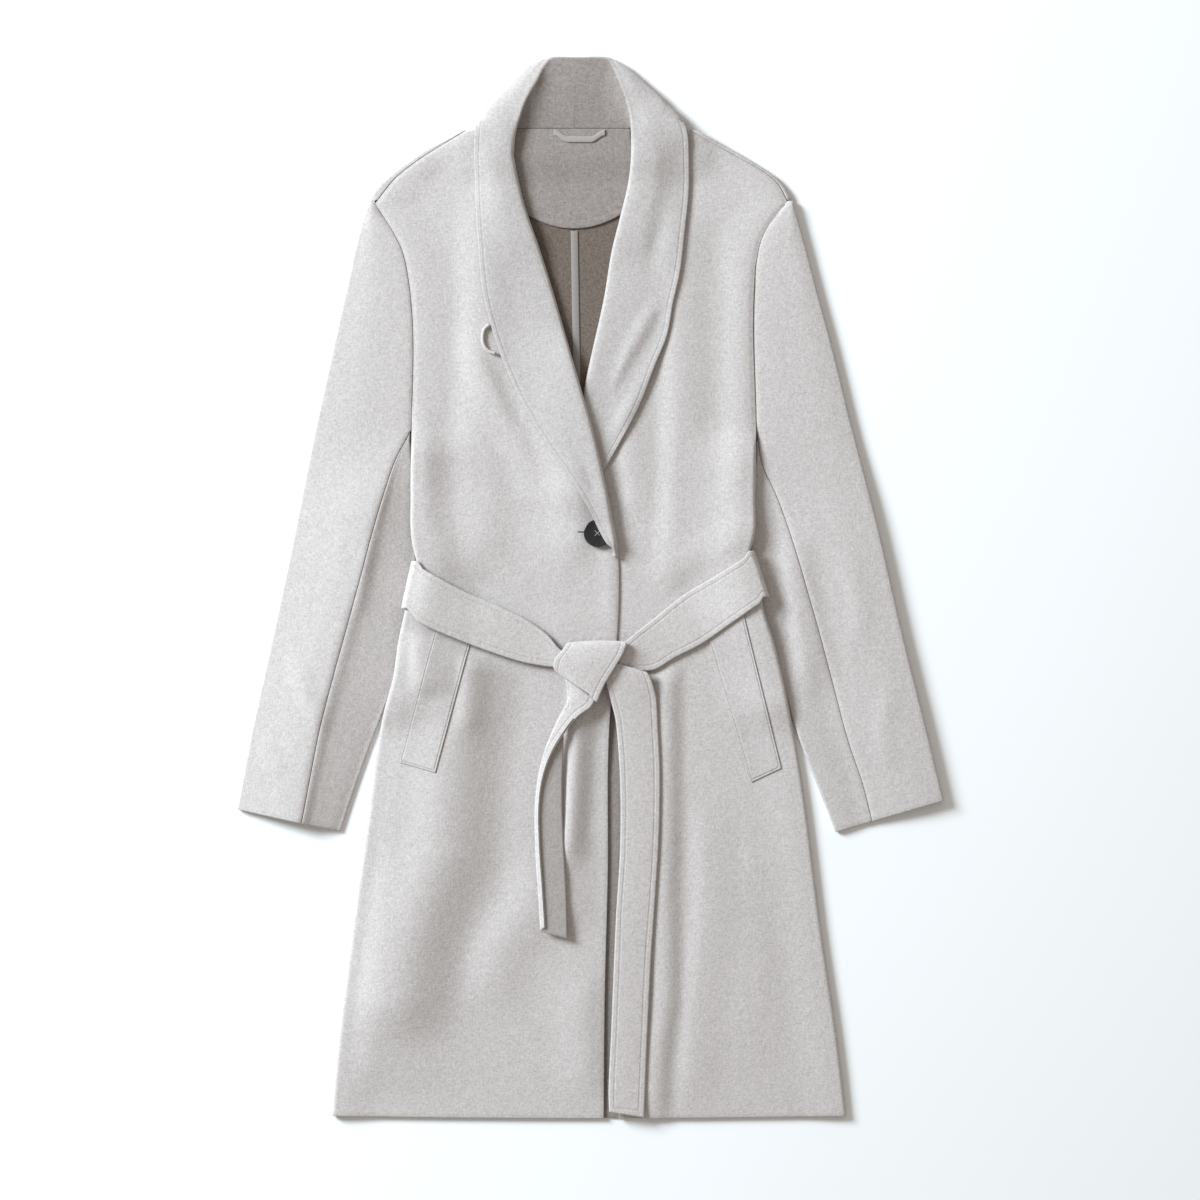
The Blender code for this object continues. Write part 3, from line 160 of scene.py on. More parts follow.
ROLL_LINE = {
    RIGHT: ((19.5, 28.5), (38.0, 27.5), (71.5, 21.5), (114.5, 12.5), (157.5, 2.5),
            (195.5, -8.5), (247.5, -23.5), (289.5, -35.5), (337.5, -50.5), (384.5, -66.5),
            (425.5, -75.5), (442.5, -78.5), (460.0, -77.0)),
    LEFT: ((38.0, -14.5), (71.5, -14.0), (114.5, -12.5), (157.5, -10.0), (197.5, -6.5),
           (230.5, 0.5), (289.5, 13.5), (337.5, 21.5), (369.5, 29.5), (409.5, 38.5),
           (432.5, 40.5), (460.0, 40.0)),
}
FRONT_EDGE = {
    RIGHT: ((-530.5, 13.5), (-412.5, 14.5), (-292.5, 17.5), (-132.5, 19.5), (-52.5, 26.5),
            (-12.5, 28.5), (19.5, 28.5), (38.0, 27.5)),
    LEFT: ((-530.5, 28.0), (-445.0, 30.0), (-370.0, 33.0), (-260.0, 36.0), (-200.0, 32.0),
           (-113.0, 24.0), (-85.0, 5.0), (-40.0, -12.0), (38.0, -14.5)),
}
COLLAR_EDGE = {
    RIGHT: ((33.5, 24.0), (44.5, 15.5), (77.5, -1.5), (109.5, -20.5), (145.5, -45.5),
            (180.5, -66.5), (231.5, -89.5), (261.5, -99.5), (289.5, -106.5), (346.5, -112.5),
            (375.5, -114.5), (413.5, -115.5), (440.5, -116.5)),
    LEFT: ((90.0, 2.0), (115.5, 13.5), (147.5, 31.5), (180.5, 48.5), (228.5, 67.5),
           (247.5, 75.5), (287.5, 83.5), (308.5, 88.5), (356.5, 94.5), (394.5, 98.5),
           (440.5, 98.5)),
}
SLEEVE_EDGE = {
    RIGHT: ((-222.0, -353.5), (-142.5, -338.5), (-42.5, -316.5), (57.5, -295.5),
            (157.5, -275.5), (257.5, -253.5), (297.5, -244.5), (357.5, -230.5), (383.0, -222.5)),
    LEFT: ((-213.0, 353.5), (-142.5, 336.5), (-42.5, 311.5), (57.5, 288.5), (157.5, 262.5),
           (257.5, 237.5), (297.5, 226.5), (357.5, 210.5), (383.0, 203.0)),
}
SLEEVE_SEAM = {
    RIGHT: ((-240.0, -289.0), (-195.5, -280.5), (-144.5, -270.5), (-89.5, -256.5),
            (-31.5, -240.5), (12.5, -228.5), (54.5, -217.5), (98.5, -204.5), (127.5, -194.5),
            (157.5, -179.0)),
    LEFT: ((-240.0, 283.0), (-194.5, 271.5), (-159.5, 259.5), (-89.5, 240.5), (-41.5, 227.5),
           (0.5, 215.5), (31.5, 206.5), (92.5, 185.5), (123.5, 171.5), (157.5, 166.0)),
}
SLEEVE_INNER = {
    RIGHT: ((-250.0, -251.5), (-243.5, -249.5), (-117.5, -204.5), (-95.0, -195.5),
            (-32.5, -182.5), (27.5, -174.5), (87.5, -175.0), (120.0, -177.5), (157.5, -180.0)),
    LEFT: ((-250.0, 246.5), (-244.5, 244.5), (-121.5, 198.5), (-95.0, 191.0), (-37.5, 174.0),
           (27.5, 160.5), (87.5, 160.0), (120.0, 163.5), (157.5, 167.0)),
}
SLEEVE_SLANT = {RIGHT: 0.2115, LEFT: 0.294}
SLEEVE_CUFF_Y = {RIGHT: -221.5, LEFT: -212.5}
UNDER_SLEEVE_TOP = {RIGHT: 153.0, LEFT: 148.0}
# How far the heads of the sleeve pieces are tucked in, and how thick they still are there.
UPPER_TUCK = 3.4
UNDER_TUCK = 2.6
TUCKED_SHARE = 0.45

# Soft folds of the fronts: path down the cloth (x, y), half width on its -X side and on its +X
# side, and height.
FOLDS = {
    RIGHT: (
        (((-170.0, 190.0), (-170.0, 110.0), (-168.0, 40.0)), 26.0, 26.0, 2.2),
        (((-106.0, 420.0), (-108.0, 250.0), (-112.0, 150.0), (-108.0, 60.0), (-96.0, 0.0)),
         34.0, 40.0, 3.4),
        (((-18.0, 140.0), (-14.0, 80.0), (-12.0, 10.0)), 34.0, 20.0, 2.2),
        (((19.0, 66.0), (21.0, 0.0), (20.0, -56.0)), 14.0, 9.0, 1.1),
        (((-190.0, 62.0), (-128.0, 34.0), (-95.0, 18.0), (-50.0, -2.0), (-20.0, -16.0)),
         28.0, 90.0, 2.2),
        (((-124.0, -10.0), (-128.0, -112.0), (-138.0, -162.0), (-142.0, -212.0),
          (-146.0, -262.0), (-168.0, -312.0), (-184.0, -362.0), (-192.0, -412.0),
          (-196.0, -470.0)), 62.0, 66.0, 9.2),
        (((-182.0, -30.0), (-190.0, -200.0), (-198.0, -300.0), (-206.0, -400.0),
          (-214.0, -520.0)), 38.0, 112.0, 4.6),
        (((-13.0, -58.0), (-17.0, -150.0), (-20.5, -210.0), (-23.5, -262.0),
          (-25.0, -292.0)), 8.0, 27.0, 8.0),
        (((-27.0, -225.0), (-28.0, -285.0), (-27.0, -352.0)), 10.0, 42.0, 3.4),
        (((-172.0, -36.0), (-170.0, -72.0), (-166.0, -116.0)), 16.0, 40.0, 4.2),
        (((-121.0, -58.0), (-123.0, -112.0), (-128.0, -158.0)), 14.0, 26.0, 2.6),
        (((-126.0, 276.0), (-117.0, 237.0), (-93.0, 187.0), (-70.0, 137.0), (-50.0, 92.0)),
         26.0, 16.0, 2.3),
        (((-46.0, -255.0), (-62.0, -322.0), (-92.0, -362.0), (-104.0, -440.0)),
         36.0, 46.0, 3.4),
        (((-6.0, -370.0), (-6.0, -450.0), (-4.0, -525.0)), 40.0, 22.0, 2.2),
    ),
    LEFT: (
        (((76.0, -30.0), (76.0, -150.0), (76.0, -250.0), (74.0, -312.0), (75.0, -362.0),
          (75.0, -412.0), (67.0, -470.0), (63.0, -560.0)), 34.0, 20.0, 4.5),
        (((34.0, 205.0), (36.0, 165.0), (41.0, 110.0), (45.0, 50.0)), 16.0, 34.0, 2.0),
        (((112.0, -200.0), (114.0, -320.0), (104.0, -430.0), (96.0, -540.0)), 18.0, 40.0, 2.1),
        (((84.0, 400.0), (88.0, 300.0), (88.0, 180.0), (84.0, 60.0), (78.0, -10.0)),
         24.0, 48.0, 3.4),
        (((156.0, 360.0), (152.0, 200.0), (148.0, 70.0)), 26.0, 26.0, 1.6),
        (((178.0, 66.0), (122.0, 42.0), (92.0, 24.0), (50.0, -4.0)), 26.0, 80.0, 1.6),
        (((150.0, -230.0), (160.0, -340.0), (158.0, -500.0)), 60.0, 46.0, 1.4),
    ),
}

# Drape lines across the fall of the left collar half, as above.
LAPEL_FOLDS = (
    (((2.0, 176.0), (36.0, 232.0), (78.0, 300.0)), 12.0, 15.0, 1.9),
    (((16.0, 138.0), (46.0, 190.0), (82.0, 254.0)), 11.0, 14.0, 1.5),
)

# Folds of the sleeves, as above.
SLEEVE_FOLDS = {
    RIGHT: (
        (((-300.0, -60.0), (-282.0, -110.0), (-262.0, -150.0)), 14.0, 18.0, 1.6),
        (((-215.0, 60.0), (-226.0, 20.0), (-232.0, -40.0)), 10.0, 14.0, 1.2),
        (((-330.0, -150.0), (-306.0, -190.0)), 14.0, 18.0, 1.0),
    ),
    LEFT: (
        (((250.0, 40.0), (266.0, -10.0), (270.0, -70.0)), 16.0, 20.0, 1.2),
        (((194.0, 70.0), (203.0, 10.0), (213.0, -50.0), (226.0, -120.0)), 19.0, 32.0, 4.4),
        (((300.0, -90.0), (290.0, -140.0), (300.0, -190.0)), 14.0, 18.0, 1.0),
    ),
}

# Height of a sleeve's upper layer, from the inner edge (0) by the seam (1) to the outer (2).
SLEEVE_RISE = {
    RIGHT: ((0.0, 1.9), (0.22, 4.8), (0.6, 8.8), (0.82, 11.4), (1.0, 15.0), (1.25, 14.2),
            (1.6, 10.2), (2.0, 5.0)),
    LEFT: ((0.0, 4.4), (0.3, 4.3), (0.8, 3.5), (1.0, 4.3), (1.35, 7.0), (1.7, 9.0),
           (2.0, 9.2)),
}
# The same over the cap, from the armhole seam (0) to the outer edge (1).
CAP_RISE = {
    RIGHT: ((0.0, 6.3), (0.25, 7.0), (0.6, 7.2), (1.0, 4.8)),
    LEFT: ((0.0, 5.9), (0.2, 7.0), (0.5, 7.8), (0.8, 8.0), (1.0, 6.8)),
}
# Dip of the cloth into the seams round the armholes and shoulders: depth and reach.
SEAM_DIP = (0.7, 6.0)
ARMHOLE_DIP_Y = (120.0, 160.0)
# Longest soft end of a fold, and how far beside the belt the folds are pressed flat.
FOLD_FADE = 62.0
PRESSED_SHARE = 0.9
PRESSED_REACH = {"below": (22.0, 2.0), "above": 26.0}

# Belt behind the waist: its middle and half its reach up the coat, its step from the cloth
# beside it, and its turn round the side.
BELT_BACK_Y = 8.0
BELT_BACK_REACH = 31.0
BELT_MID_STEP = CLOTH / 2 + 0.5 + BELT_CLOTH / 2
BELT_TURN = 5.0


def smooth(value, start, end):
    """0 at start and 1 at end, with soft ends."""
    share = np.clip((np.asarray(value, float) - start) / (end - start), 0.0, 1.0)
    return share * share * (3.0 - 2.0 * share)


def band(value, rise, fall):
    """1 between a soft rise and a soft fall, each given by its start and end."""
    return smooth(value, *rise) * smooth(value, *fall)


def curve(table, at):
    """Read a smooth curve through a table's rows (height, place) at the given heights."""
    keys = np.array([row[0] for row in table], float)
    values = np.array([row[1] for row in table], float)
    slopes = np.gradient(values, keys)
    at = np.clip(np.asarray(at, float), keys[0], keys[-1])
    index = np.clip(np.searchsorted(keys, at) - 1, 0, len(keys) - 2)
    width = keys[index + 1] - keys[index]
    t = (at - keys[index]) / width
    return ((2 * t ** 3 - 3 * t ** 2 + 1) * values[index]
            + (t ** 3 - 2 * t ** 2 + t) * width * slopes[index]
            + (3 * t ** 2 - 2 * t ** 3) * values[index + 1]
            + (t ** 3 - t ** 2) * width * slopes[index + 1])


def front_outer(side, y):
    """Outer boundary of a front: body edge, then armhole, then shoulder seam."""
    y = np.asarray(y, float)
    edge = np.where(y <= UNDERARM_Y, curve(BODY_EDGE[side], y), curve(ARMHOLE[side], y))
    return np.where(y > SHOULDER_TIP_Y, curve(SHOULDER_SEAM[side], y), edge)


def back_outer(side, y):
    """Outer boundary of the back: as the front's, but its shoulder rolls over to the seam."""
    y = np.asarray(y, float)
    return np.where(y > SHOULDER_TIP_Y, curve(SHOULDER_OUTLINE[side], y), front_outer(side, y))


def inward(side, x, y):
    """Distance in from the body's outer boundary."""
    return side * (front_outer(side, y) - x)


def belt_lift(y):
    """Rise of the body over the belt that passes beneath it."""
    off = np.abs(y - BELT_BACK_Y)
    return BELT_LIFT * smooth(off, BELT_BACK_REACH + BELT_RISE_REACH, BELT_BACK_REACH)


def neck_lift(x, y):
    """Rise of the body over the collar that is folded under it."""
    off = np.abs(x - NECK_MID_X)
    return NECK_LIFT * smooth(y, *NECK_RISE["y"]) * smooth(off, *NECK_RISE["x"])


def sleeve_lift(y):
    """1 where a sleeve lies under the body's side."""
    return band(y, *SLEEVE_UNDER)


def back_mid(side, x, y):
    """Height of the back's middle."""
    side_rise = SLEEVE_LIFT * sleeve_lift(y) * smooth(inward(side, x, y), *BACK_SIDE_REACH)
    return BACK_MID + neck_lift(x, y) + belt_lift(y) + side_rise


def fold(x, y, path, before, after, height):
    """A soft ridge down a path, steeper on the side where its half width is less."""
    best = np.full(np.shape(x), 1e9)
    signed = np.zeros(np.shape(x))
    along = np.zeros(np.shape(x))
    total = sum(math.dist(*pair) for pair in zip(path, path[1:]))
    done = 0.0
    for (x0, y0), (x1, y1) in zip(path, path[1:]):
        length = math.hypot(x1 - x0, y1 - y0)
        ux, uy = (x1 - x0) / length, (y1 - y0) / length
        t = np.clip(((x - x0) * ux + (y - y0) * uy) / length, 0.0, 1.0)
        dx = x - x0 - t * ux * length
        dy = y - y0 - t * uy * length
        distance = np.hypot(dx, dy)
        nearer = distance < best
        best = np.where(nearer, distance, best)
        signed = np.where(nearer, dy * ux - dx * uy, signed)
        along = np.where(nearer, done + t * length, along)
        done += length
    half = np.where(signed > 0.0, after, before)
    across = 0.5 + 0.5 * np.cos(np.pi * np.clip(best / half, 0.0, 1.0))
    fade = min(FOLD_FADE, 0.3 * total)
    return height * across * band(along, (0.0, fade), (total, total - fade))


def pressed(side, x, y):
    """How much of the folds is left beside the belt, which presses the front flat."""
    top, foot = (curve(sorted(row[edge] for row in BELT_RUNS[side]), x) for edge in (0, 1))
    below, inside = PRESSED_REACH["below"]
    under = band(y, (foot - below, foot + inside), (top + PRESSED_REACH["above"], top))
    return 1.0 - PRESSED_SHARE * under


def front_mid(side, x, y, folded=True):
    """Height of a front's middle, with its soft folds or without them."""
    x = np.asarray(x, float)
    y = np.asarray(y, float)
    inner = inward(side, x, y)
    height = FRONT_MID + neck_lift(x, y) + belt_lift(y)
    height = height + EDGE_PUFF * smooth(inner, *EDGE_PUFF_REACH)
    dip, reach = SEAM_DIP
    height = height - dip * smooth(inner, reach, 0.0) * smooth(y, *ARMHOLE_DIP_Y)
    height = height + SLEEVE_LIFT * sleeve_lift(y) * smooth(inner, *FRONT_SIDE_REACH)
    from_roll = side * (x - curve(ROLL_LINE[side], y))
    over = smooth(y, *FACING_RISE["y"]) * smooth(from_roll, *FACING_RISE["roll"])
    height = height + FACING_LIFT * over
    if side == RIGHT:
        under = curve(FRONT_EDGE[LEFT], np.minimum(y, BREAK_Y))
        start, end = LAP_RISE["edge"]
        lap = band(y, *LAP_RISE["y"]) * smooth(x, under - start, under - end)
        cross = band(y, *CROSS_RISE["y"]) * smooth(x, *CROSS_RISE["x"])
        height = height + LAP_LIFT * lap + LAPEL_CROSS_LIFT * cross
    if folded:
        left = pressed(side, x, y)
        for path, before, after, rise in FOLDS[side]:
            height = height + left * fold(x, y, path, before, after, rise)
    return height


def resample(points, counts):
    """Walk a smooth curve through points, with a set number of steps for each stretch."""
    points = np.asarray(points, float)
    padded = np.vstack([2 * points[0] - points[1], points, 2 * points[-1] - points[-2]])
    walked = [points[0]]
    for number, steps in enumerate(counts):
        p0, p1, p2, p3 = padded[number:number + 4]
        m1 = (p2 - p0) / 2
        m2 = (p3 - p1) / 2
        span = np.linalg.norm(p2 - p1)
        m1 = m1 * min(1.0, span / max(np.linalg.norm(m1), 1e-6))
        m2 = m2 * min(1.0, span / max(np.linalg.norm(m2), 1e-6))
        for step in range(1, steps + 1):
            t = step / steps
            walked.append((2 * t ** 3 - 3 * t ** 2 + 1) * p1 + (t ** 3 - 2 * t ** 2 + t) * m1
                          + (3 * t ** 2 - 2 * t ** 3) * p2 + (t ** 3 - t ** 2) * m2)
    return np.array(walked)


def spread(points, count):
    """Space a polyline's points evenly."""
    points = np.asarray(points, float)
    steps = np.linalg.norm(np.diff(points, axis=0), axis=1)
    walked = np.concatenate([[0.0], np.cumsum(steps)])
    targets = np.linspace(0.0, walked[-1], count)
    return np.column_stack([np.interp(targets, walked, points[:, axis])
                            for axis in range(points.shape[1])])


def directions(grid, axis):
    """Mean direction of the two steps that meet at each point along one axis."""
    steps = np.diff(grid, axis=axis)
    steps /= np.maximum(np.linalg.norm(steps, axis=2, keepdims=True), 1e-9)
    first = np.take(steps, [0], axis=axis)
    last = np.take(steps, [-1], axis=axis)
    return np.concatenate([first, steps], axis=axis) + np.concatenate([steps, last], axis=axis)


def hem_shift(x, y):
    """The hem's ends lie a little higher than its middle."""
    return HEM_SMILE * (x / HEM_HALF_WIDTH) ** 2 * smooth(y, -440.0, HEM_Y)


def turned_path(flat, turned, begun, share, count):
    """An edge that starts flat and then rolls on round; share says how far round it goes."""
    turned = np.asarray(turned, float)
    steps = np.linalg.norm(np.diff(turned, axis=0), axis=1)
    walked = np.concatenate([[0.0], np.cumsum(steps)])
    flat_length = abs(flat[-1][0] - flat[0][0])
    reach = flat_length + share * (walked[-1] - flat_length)
    targets = np.linspace(0.0, reach, count)
    rolled = np.column_stack([np.interp(targets, walked, turned[:, axis]) for axis in (0, 1)])
    return (1.0 - begun) * spread(flat, count) + begun * rolled


def half_turn(edge, way, radius, first, last, steps=8):
    """Places (x, z) round a roll from one height to another, just inside an edge."""
    places = []
    for angle in np.linspace(0.0, math.pi, steps + 1):
        x = edge - way * (CLOTH / 2 + radius * (1.0 - math.sin(angle)))
        places.append((x, last + (first - last) * (1.0 + math.cos(angle)) / 2))
    return places


def side_turn(y):
    """0 along the armhole, where the cloth just ends, and 1 down the side."""
    return float(smooth(y, UNDERARM_Y - 8.0, UNDERARM_Y - 70.0))


def front_side_path(side, y, count):
    """Middle of the front round the body's side at one height, from the top to the seam."""
    edge = float(front_outer(side, y))
    start = edge - side * TURN_START
    xs = np.linspace(start, edge - side * SEAM_GAP / 2, count)
    flat = np.column_stack([xs, front_mid(side, xs, np.full(count, y))])
    seam = edge - side * (SIDE_REACH + SIDE_RETURN)
    low = float(back_mid(side, seam, y))
    top = float(front_mid(side, edge - side * LAYER_READ, y))
    turned = [(start, float(front_mid(side, start, y))),
              *half_turn(edge, side, SIDE_ROLL, top, low), (seam, low)]
    begun = float(smooth(y, UNDERARM_Y, UNDERARM_Y - 30.0))
    return turned_path(flat, turned, begun, side_turn(y), count)


def front_inner(side, y):
    """Inner boundary of a front: its edge, then just outside the roll of the collar."""
    y = np.asarray(y, float)
    edge = curve(FRONT_EDGE[side], np.minimum(y, BREAK_Y))
    roll = curve(ROLL_LINE[side], np.maximum(y, BREAK_Y)) + side * (FOLD_REACH + SEAM_GAP)
    share = smooth(y, BREAK_Y, BREAK_Y + 2.0)
    return edge * (1.0 - share) + roll * share + side * NECK_EASE * smooth(y, *NECK_EASE_Y)


def panel_row(side, y, turned, inner, height_of, across):
    """One row of a panel: its turned edge, then flat across to its inner boundary."""
    shares = np.linspace(0.0, 1.0, across + 1)[1:] ** 1.08
    xs = turned[-1, 0] + (inner - turned[-1, 0]) * shares
    flat = np.column_stack([xs, height_of(side, xs, np.full(len(xs), y))])
    line = np.vstack([turned, flat])
    return np.column_stack([line[:, 0], y + hem_shift(line[:, 0], y), line[:, 1]])


def body_rows():
    """Rows up the body that the fronts and the back share."""
    return refine(LOWER_ROWS + WAIST_ROWS + UNDERARM_ROWS + ARMHOLE_ROWS + SHOULDER_ROWS, STEP)


def front_grid(side, across=48, turned=15):
    """Middle points of a front panel, from the side seam to the front edge."""
    rows = []
    for y in body_rows():
        path = front_side_path(side, y, turned)[::-1]
        rows.append(panel_row(side, y, path, float(front_inner(side, y)), front_mid, across))
    return np.array(rows)


def back_seam_x(y):
    """Place of the centre-back seam."""
    return -1.0 - 16.4 * (np.asarray(y, float) - HEM_Y) / (NECK_Y - HEM_Y)


def back_edge_path(side, y, count):
    """Middle of the back by its outer edge, from the flat part outward.

    Down the side it stops at the side seam; at the shoulder it rolls forward to the seam.
    """
    seam = float(curve(SHOULDER_SEAM[side], y)) + side * 3.0 * SEAM_GAP
    edge = float(back_outer(side, y))
    if y > SHOULDER_TIP_Y:
        edge = side * max(side * edge, side * seam + SHOULDER_ROLL + CLOTH)
    stop = edge - side * (SEAM_GAP / 2 + (SIDE_REACH + SIDE_RETURN + SEAM_GAP) * side_turn(y))
    start = stop - side * TURN_START
    xs = np.linspace(start, stop, count)
    flat = np.column_stack([xs, back_mid(side, xs, np.full(count, y))])
    if y <= SHOULDER_TIP_Y:
        return flat
    low = float(back_mid(side, edge - side * LAYER_READ, y))
    top = float(front_mid(side, seam - side * 2.0, y))
    turned = [(start, float(back_mid(side, start, y))),
              *half_turn(edge, side, SHOULDER_ROLL, low, top)]
    if side * turned[-1][0] > side * seam:
        turned.append((seam, top))
    begun = float(smooth(y, SHOULDER_TIP_Y, SHOULDER_TIP_Y + 2.0))
    share = float(smooth(y, SHOULDER_TIP_Y - 1.0, SHOULDER_TIP_Y + 4.0))
    return turned_path(flat, turned, begun, share, count)


def back_grid(side, across=40, turned=15):
    """Middle points of a back half, from its outer edge to the centre-back seam."""
    rows = []
    for y in body_rows():
        path = back_edge_path(side, y, turned)[::-1]
        inner = float(back_seam_x(y)) + side * SEAM_GAP / 2
        rows.append(panel_row(side, y, path, inner, back_mid, across))
    return np.array(rows)


def sleeve_row(side, edge_y):
    """Outer edge, seam, inner edge and hidden seam of a sleeve on one slanted row."""
    slant = SLEEVE_SLANT[side] * smooth(edge_y, UNDERARM_Y, SLEEVE_CUFF_Y[side])
    outer_x = float(curve(SLEEVE_EDGE[side], edge_y))

    def meet(table):
        x = outer_x
        for _ in range(6):
            y = edge_y - slant * abs(x - outer_x)
            x = float(curve(table, y))
        return x, edge_y - slant * abs(x - outer_x)

    if edge_y >= UNDERARM_Y:
        x = float(curve(ARMHOLE[side], edge_y))
        return (outer_x, edge_y), (x, edge_y), (x, edge_y), (x, edge_y)
    seam = meet(SLEEVE_SEAM[side])
    inner = meet(SLEEVE_INNER[side])
    share = 1.0 - 0.5 * float(smooth(edge_y, UNDERARM_Y, 40.0))
    hidden_x = outer_x + share * (inner[0] - outer_x)
    hidden_x = side * max(side * hidden_x, side * inner[0] + 7.0)
    return (outer_x, edge_y), seam, inner, (hidden_x, edge_y - slant * abs(hidden_x - outer_x))


def sleeve_top(side, x, y, outer_x, seam_x, inner_x):
    """Height of a sleeve's upper layer: a soft dome that dips into its seams."""
    share = np.clip((x - inner_x) / (outer_x - inner_x), 0.0, 1.0)
    dip, reach = SEAM_DIP
    split = max(abs(seam_x - inner_x), 1.0)
    part = abs(x - inner_x) / split
    if part > 1.0:
        part = 1.0 + abs(x - seam_x) / abs(outer_x - seam_x)
    arm = curve(SLEEVE_RISE[side], part)
    cap = curve(CAP_RISE[side], share)
    up = smooth(y, 70.0, 165.0)
    height = arm * (1.0 - up) + cap * up
    for path, before, after, rise in SLEEVE_FOLDS[side]:
        height = height + fold(np.float64(x), np.float64(y), path, before, after, rise)
    return height - dip * 0.8 * smooth(np.abs(x - seam_x), reach * 0.7, 0.0)


def sleeve_section(side, start, edge, end, y_of, cols, outer_x, seam_x, inner_x):
    """Upper layer from a seam to an edge, round it, and back along the underside."""
    half = CLOTH / 2
    toward = 1.0 if edge > start else -1.0
    width = abs(edge - start)
    radius = min(1.85, max((width - half) / 2, 0.3))
    flat_top = np.linspace(start, edge - toward * (half + radius), cols[0] + 1)
    rows = [(x, y_of(x), float(sleeve_top(side, x, y_of(x), outer_x, seam_x, inner_x)))
            for x in flat_top]
    rows += [(x, y_of(x), z)
             for x, z in half_turn(edge, toward, radius, rows[-1][2], BACK_MID, cols[1])[1:]]
    rows += [(x, y_of(x), BACK_MID)
             for x in np.linspace(edge - toward * (half + radius), end, cols[2] + 1)[1:]]
    return rows


def sleeve_grids(side):
    """Middle points of a sleeve's upper and under pieces."""
    heights = refine(ARMHOLE_ROWS[::-1] + (SLEEVE_CUFF_Y[side],), STEP)
    heights = sorted({*heights, UNDER_SLEEVE_TOP[side] - 0.2}, reverse=True)
    upper, under = [], []
    for edge_y in heights:
        outer, seam, inner, hidden = sleeve_row(side, edge_y)
        slope = (seam[1] - outer[1]) / (seam[0] - outer[0])

        def y_of(x, outer=outer, slope=slope):
            return outer[1] + slope * (x - outer[0])

        gap = side * SEAM_GAP / 2
        upper.append(sleeve_section(side, seam[0] + gap, outer[0], hidden[0] + gap,
                                    y_of, (22, 12, 14), outer[0], seam[0], inner[0]))
        if edge_y < UNDER_SLEEVE_TOP[side]:
            under.append(sleeve_section(side, seam[0] - gap, inner[0], hidden[0] - gap,
                                        y_of, (14, 12, 10), outer[0], seam[0], inner[0]))
    for piece, rise in ((upper, UPPER_TUCK), (under, UNDER_TUCK)):
        tucked = np.array(piece[0])
        tucked[:, 1] += rise
        tucked[:, 2] = BACK_MID + 1.0 + (tucked[:, 2] - BACK_MID) * TUCKED_SHARE
        piece.insert(0, [tuple(point) for point in tucked])
    return np.array(upper), np.array(under)


